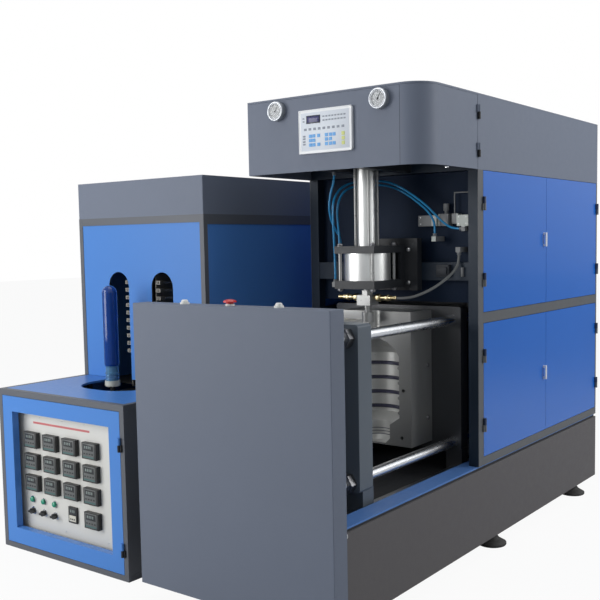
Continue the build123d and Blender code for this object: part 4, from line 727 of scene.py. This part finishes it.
settle(mesh, "key_panel_keys", "head_cover_set", MARK_GREY, KEY_BLUE, KEY_LIME)

mesh = bmesh.new()
for x in (-150.5, 110.5):
    for z in (1811.5, 1980.5):
        add_screw(mesh, press(x, KEYPAD_FACE, z), FRONT, 3.0, 1.6)
settle(mesh, "key_panel_screws", "head_cover_set", SCREW_STEEL)

# A thin dark line down the head's rounded corner
mesh = bmesh.new()
add_block(mesh, press(338.4, 686.6, 1732), press(339.6, 687.2, 2044), 0.2)
settle(mesh, "head_corner_dark_line", "head_cover_set", CORNER_LINE_DARK)

# ---------------------------------------------------------------- pressure gauges
mesh, glass = bmesh.new(), bmesh.new()
for gauge_x in (-279, 250):
    face = press(gauge_x, 667, 1998)
    add_turned(mesh, face, FRONT, [(0, 0.4), (32.4, 0.4), (32.4, -0.1), (0, -0.1)], 40, 0)
    bezel = [(30.4, 0.3), (30.9, 3.0), (31.9, 4.2), (33.2, 4.2), (33.2, 0.3)]
    add_turned(mesh, face, FRONT, bezel, 40, 1, True)
    rim = [(35.2, 3.9), (36.2, 5.4), (39.4, 5.6), (41.2, 4.4), (41.6, 3.9)]
    add_turned(mesh, face, FRONT, rim, 40, 1, True)
    add_turned(mesh, face, FRONT, [(33.4, 3.0), (33.4, 4.3), (35.0, 4.3), (35.0, 3.0)], 40, 2, True)
    add_turned(mesh, face, FRONT, [(0, 0.5), (3.6, 0.5), (3.6, 2.0), (2.6, 2.6), (0, 2.8)], 20, 2)
    for step in range(31):
        turn = radians(225 - 9 * step)
        long, wide = (0.003, 0.0007) if step % 5 else (0.0055, 0.0011)
        known = set(mesh.faces)
        mark = bmesh.ops.create_cube(mesh, size=1)["verts"]
        bmesh.ops.scale(mesh, vec=(long, 0.0003, wide), verts=mark)
        bmesh.ops.translate(mesh, vec=(0.0286 - long / 2, -0.00055, 0), verts=mark)
        bmesh.ops.rotate(mesh, cent=(0, 0, 0), matrix=Matrix.Rotation(-turn, 3, "Y"), verts=mark)
        bmesh.ops.translate(mesh, vec=face, verts=mark)
        give_finish(mesh, known, 2)
    known = set(mesh.faces)
    hand = radians(60)
    bmesh.ops.create_cone(
        mesh, cap_ends=True, segments=4, radius1=0.0016, radius2=0.0004, depth=0.034,
        matrix=Matrix.Translation(face + Vector((0.011 * cos(hand), -0.0014, 0.011 * sin(hand))))
        @ Matrix.Rotation(pi / 2 - hand, 4, "Y"),
    )
    give_finish(mesh, known, 2)
    pane = [(0, 3.5), (18, 3.4), (31.2, 3.0), (31.2, 2.4), (18, 2.8), (0, 2.9)]
    add_turned(glass, face, FRONT, pane, 32, 0)
settle(mesh, "gauge_dials", "head_cover_set", DIAL_WHITE, GAUGE_RING, DIAL_BLACK)
settle(glass, "gauge_glasses", "head_cover_set", GAUGE_GLASS)

# ---------------------------------------------------------------- heater instruments
PANEL_FACE = 57
METER_FRONT, SCREEN_FRONT, RELAY_FRONT = 37, 36.5, 47
LAMP_Z, KNOB_Z = 236, 181
SWITCHES = {"left": -281, "middle": -199, "right": -117}
meter_spots = [(x, z) for z in (319, 422, 525) for x in (-262.5, -121, 20.5, 162)] + [(162, 209)]
mesh = bmesh.new()
for x, z in meter_spots:
    for side in (-1, 1):
        front_tab(mesh, heater, x + side * 46.2, z, 3.6, 74, METER_FRONT, 1.6, 0.7, 4)
        front_tab(mesh, heater, x, z + side * 35.2, 96, 3.6, METER_FRONT, 1.6, 0.7, 4)
    front_tab(mesh, heater, x - 5, z, 78, 66, METER_FRONT, 0.5, 0.2, 0)
    # A dark strip down each face's right edge: painted shade for the shadowed side of the case
    front_tab(mesh, heater, x + 39.3, z, 10, 66, METER_FRONT, 0.8, 0.3, 4)
    front_tab(mesh, heater, x - 5, z + 15, 66, 27, SCREEN_FRONT, 0.7, 0.3, 1)
    front_tab(mesh, heater, x - 5, z - 27.5, 76, 7, SCREEN_FRONT, 0.3, 0.1, 2)
    for step in range(4):
        front_tab(mesh, heater, x - 26 + 12 * step, z + 16, 6.5, 12, 35.8, 0.2, 0.1, 3)
        front_tab(mesh, heater, x - 32 + 18 * step, z - 13, 9, 6, SCREEN_FRONT, 1.0, 0.4, 4)
settle(mesh, "meter_faces", "machine_body", METER_FACE, METER_SCREEN, METER_TEAL, DIGIT_GREEN, METER_CASE)

mesh = bmesh.new()
front_tab(mesh, heater, 17, 226, 46, 30, RELAY_FRONT, 0.8, 0.4, 0)
front_tab(mesh, heater, 17, 193, 46, 28, RELAY_FRONT, 0.8, 0.4, 1)
for step in range(3):
    front_tab(mesh, heater, 5 + 12 * step, 227, 6, 12, 46.2, 0.2, 0.1, 2)
    front_tab(mesh, heater, 5 + 12 * step, 190, 7, 7, 46.2, 1.4, 0.5, 0)
settle(mesh, "relay_face", "machine_body", METER_SCREEN, RELAY_CREAM, DIGIT_GREEN)

mesh = bmesh.new()
front_tab(mesh, heater, -57.5, 606.5, 407, 10, PANEL_FACE, 0.5, 0.2, 0)
settle(mesh, "panel_heading", "machine_body", HEADING_RED)

mesh = bmesh.new()
for z, places in ((634, (-45, 110, -215, -330, 300)), (120, (-330, -45, 250))):
    for x in places:
        add_screw(mesh, heater(x, PANEL_FACE, z), FRONT, 3.4, 1.8)
settle(mesh, "panel_screws", "machine_body", SCREW_STEEL)

mesh = bmesh.new()
for x in SWITCHES.values():
    lamp, knob = heater(x, PANEL_FACE, LAMP_Z), heater(x, PANEL_FACE, KNOB_Z)
    add_turned(mesh, lamp, FRONT, [(13.2, 0), (17, 0), (17, 3.6), (15.6, 5), (13.2, 5)], 28, 0, True)
    add_turned(mesh, knob, FRONT, [(13.6, 0), (19, 0), (19, 2), (17.6, 3.4), (13.6, 3.4)], 28, 0, True)
settle(mesh, "switch_rings", "machine_body", BRIGHT_PLATE)

mesh = bmesh.new()
for x in SWITCHES.values():
    dome = [(0, 16.6), (5, 16.2), (9.5, 14.6), (12.2, 12), (12.2, 11), (0, 11)]
    add_turned(mesh, heater(x, PANEL_FACE, LAMP_Z), FRONT, dome, 24, 0)
settle(mesh, "lamp_domes", "machine_body", GREEN_LENS)

for side, x in SWITCHES.items():
    face = (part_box("selector_" + side)[0][1] - HEATER.y) * 1000
    mesh = bmesh.new()
    front_tab(mesh, heater, x, 194, 1.6, 10, face, 0.4, 0.15, 0)
    settle(mesh, "selector_mark_" + side, side + "_selector", KEYPAD_WHITE)

# ---------------------------------------------------------------- nuts, screws and small fittings
COLUMN_Y = 952
FITTING_Z = 1179
mesh = bmesh.new()
for sx in (-1, 1):
    for sy in (-1, 1):
        x, y = 86.5 * sx, COLUMN_Y + 86.5 * sy
        washer = [(7.3, 0), (13.5, 0), (13.5, 1.4), (7.3, 1.4)]
        add_turned(mesh, press(x, y, 1409), UP, washer, 20, 0, True)
        add_turned(mesh, press(x, y, 1221), DOWN, washer, 20, 0, True)
        add_hex(mesh, press(x, y, 1410.2), UP, 22, 10, 0, 12 * sx)
        add_hex(mesh, press(x, y, 1219.8), DOWN, 22, 9, 0, 20 * sy)
        add_hex(mesh, press(36 * sx, COLUMN_Y + 36 * sy, 2009), UP, 15, 7)
settle(mesh, "column_nuts", "machine_body", NUT_STEEL)

mesh = bmesh.new()
for y in (300, 1385, 2400):
    for x in (-396, 396):
        add_turned(mesh, press(x, y, 69.8), DOWN, [(14.2, 0), (27, 0), (27, 2.4), (14.2, 2.4)], 24, 0, True)
        add_prism(mesh, Matrix.Translation(press(x, y, 60.4)), 0.0242, 0.013, 0.0024)
settle(mesh, "foot_nuts", "machine_body", SCREW_STEEL)

mesh = bmesh.new()
for place, along in (
    (press(454, 115, 398), RIGHT), (press(-454, 115, 398), LEFT), (press(-454, 2540, 398), LEFT),
):
    add_turned(mesh, place, along, [(0, -0.3), (9, -0.3), (9, 1), (7, 1.3), (0, 1.3)], 20, 0)
    add_screw(mesh, place + Vector(along) * 0.0012, along, 5.5, 3.2)
settle(mesh, "cover_screws", "machine_body", SCREW_STEEL)

mesh = bmesh.new()
for places, levels in (((166, 234), (1502, 1530)), ((358, 394), (1499, 1529))):
    for z in levels:
        for x in places:
            add_screw(mesh, press(x, 1142, z), FRONT, 3.0, 1.8)
for z in (1240, 1389):
    for x in (-128, 128):
        add_hex(mesh, press(x, 1100, z), FRONT, 17, 8, 0, 10)
settle(mesh, "valve_screws", "machine_body", SCREW_STEEL)

mesh = bmesh.new()
add_block(mesh, press(256, 1118, 1266), press(320, 1142, 1320), 2.0, 0)
add_block(mesh, press(264, 1110, 1276), press(312, 1118, 1310), 1.5, 0)
add_block(mesh, press(375, 1126, 1268), press(384, 1142, 1308), 1.2, 1)
settle(mesh, "blow_valve", "machine_body", DARK_CAST, VALVE_METAL)

mesh = bmesh.new()
for place, along in (
    (press(-116, 869, 1249.8), UP), (press(-116, 905, 1403.8), UP), (press(-131, 936, 1403.8), UP),
    (press(380, 1135, 1478), LEFT), (press(252, 1118, 1445.8), UP), (press(366, 1128, 1375.2), DOWN),
    (press(-112, 866, 1736.2), DOWN),
):
    bore = 6.2 if place.z < 1.38 and place.x > 0.6 else 5.2
    ring = [(bore, 0), (10.5, 0), (10.5, 4), (8.4, 5), (8.4, 10), (9.2, 10.6), (9.2, 13), (bore, 13.4)]
    add_turned(mesh, place, along, ring, 22, 0, True)
settle(mesh, "hose_collars", "machine_body", PUSH_GREY)

mesh = bmesh.new()
add_block(mesh, press(424, 898, 1724), press(438, 910, 1733), 2.0)
settle(mesh, "head_clip", "machine_body", BRIGHT_PLATE)

mesh = bmesh.new()
for side in (-1, 1):
    along = (side, 0, 0)
    for at, flats, long in ((35 + 13, 31, 22), (35 + 62, 27, 16)):
        spot = standing(press(side * at, COLUMN_Y, FITTING_Z), along)
        middle = Matrix.Translation((0, 0, long / 2000))
        add_prism(mesh, spot @ middle, flats / 1732, long / 1000, 0.0018)
    for step in range(5):
        ring = [(8.2, 0), (9.4, 0.6), (9.4, 1.8), (8.2, 2.4)]
        place = press(side * (35 + 97 + 4 * step), COLUMN_Y, FITTING_Z)
        add_turned(mesh, place, along, ring, 20, 0, True)
settle(mesh, "fitting_nuts", "nozzle", FITTING_BRASS)

# ---------------------------------------------------------------- mould and clamp details
PORT = [(0, -0.2), (10, -0.2), (10, 4), (8.4, 5.4), (5, 5.4), (4.4, 2), (0, 2)]
for name, body, port_y in (
    ("front_mould_ports", "clamp_frame", 477), ("rear_mould_ports", "rear_platen_set", 1152.7),
):
    mesh = bmesh.new()
    for z in (620, 862):
        add_turned(mesh, press(190, port_y, z), RIGHT, PORT, 20)
        add_turned(mesh, press(-190, port_y, z), LEFT, PORT, 20)
    settle(mesh, name, body, NUT_STEEL)

mesh = bmesh.new()
for x in (-270, 270):
    for z in (600, 800, 1000):
        add_hex(mesh, press(x, 350, z), FRONT, 24, 12, 0, 15)
for x in (-120, 120):
    for z in (560, 800, 1040):
        socket = [(0, -0.2), (12, -0.2), (12, 1), (6, 1.4), (5, -0.1), (0, -0.1)]
        add_turned(mesh, press(x, 350, z), FRONT, socket, 20, 0)
settle(mesh, "platen_bolts", "clamp_frame", NUT_STEEL)

# ---------------------------------------------------------------- preform and oven
mesh = bmesh.new()
for z in (792, 800, 808):
    ridge = [(30.5, 0), (33.2, 1.2), (33.2, 2.4), (30.5, 3.6)]
    add_turned(mesh, heater(-37.1, 353.2, z), UP, ridge, 36, 0, True)
settle(mesh, "preform_thread", "preform_spindle", NECK_CLEAR)

mesh = bmesh.new()
for x in (-110, 110):
    for level in range(10):
        cap = [(0, -0.2), (6.4, -0.2), (6.4, 1.5), (4.6, 2.6), (1.6, 2.6), (1.6, 5), (0, 5)]
        add_turned(mesh, heater(x, 530, 905 + 38 * level), FRONT, cap, 16, 0)
settle(mesh, "lamp_terminals", "machine_body", CERAMIC)


# ---------------------------------------------------------------- hoses
def lay_hose(name, node, width, finish, route, follows=None):
    """A hose along its route's points, drawn as one smooth spline. Given follows, it is made a plain mesh
    left in place on no body; which body follows names is not used.
    """
    line = bpy.data.curves.new(name, "CURVE")
    line.dimensions = "3D"
    line.bevel_depth = width / 2
    line.bevel_resolution = 4
    line.resolution_u = 12
    line.use_fill_caps = True
    spline = line.splines.new("NURBS")
    spline.points.add(len(route) - 1)
    for point, place in zip(spline.points, route):
        point.co = (*press(*place), 1)
    spline.order_u = 3
    spline.use_endpoint_u = True
    spline.use_smooth = True
    line.materials.append(finish)
    piece = bpy.data.objects.new(name, line)
    bpy.context.scene.collection.objects.link(piece)
    centre = None
    if follows:
        line.bevel_depth = 0
        centre = [vertex.co[:] for vertex in bpy.data.meshes.new_from_object(piece).vertices]
        line.bevel_depth = width / 2
        tube = bpy.data.meshes.new_from_object(piece)
        bpy.data.objects.remove(piece)
        piece = bpy.data.objects.new(name, tube)
        bpy.context.scene.collection.objects.link(piece)
        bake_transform(piece)
    else:
        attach(piece, "machine_body")
    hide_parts(node)
    return piece


lay_hose("lower_air_line", "air_hose_lower", 0.010, HOSE_BLUE, (
    (-116, 869, 1250), (-116, 869, 1340), (-114, 860, 1440), (-112, 850, 1540), (-113, 855, 1612),
    (-112, 900, 1662), (-103, 962, 1691), (-66, 1017, 1701), (0, 1042, 1702), (66, 1043, 1691),
    (130, 1045, 1662), (188, 1060, 1622), (236, 1080, 1580), (272, 1104, 1532), (300, 1124, 1500),
    (335, 1135, 1478), (380, 1135, 1478),
))
lay_hose("upper_air_line", "air_hose_upper", 0.010, HOSE_BLUE, (
    (-116, 905, 1404), (-116, 905, 1454), (-119, 896, 1520), (-117, 890, 1585), (-113, 918, 1640),
    (-104, 972, 1674), (-70, 1034, 1683), (0, 1062, 1684), (68, 1062, 1672), (138, 1064, 1638),
    (200, 1082, 1590), (234, 1100, 1552), (252, 1113, 1512), (252, 1118, 1478), (252, 1118, 1446),
))
lay_hose("left_air_line", "air_hose_left", 0.010, HOSE_BLUE, (
    (-112, 866, 1736), (-112, 866, 1700), (-128, 858, 1645), (-138, 858, 1585), (-138, 872, 1525),
    (-134, 905, 1478), (-131, 936, 1448), (-131, 936, 1404),
))
lay_hose("blow_line", "blow_hose", 0.012, HOSE_GREY, (
    (154, 952, 1179), (204, 952, 1179), (244, 984, 1191), (296, 1030, 1222), (336, 1078, 1264),
    (358, 1112, 1300), (366, 1128, 1335), (366, 1128, 1375),
), "nozzle")


set_camera()
set_studio()
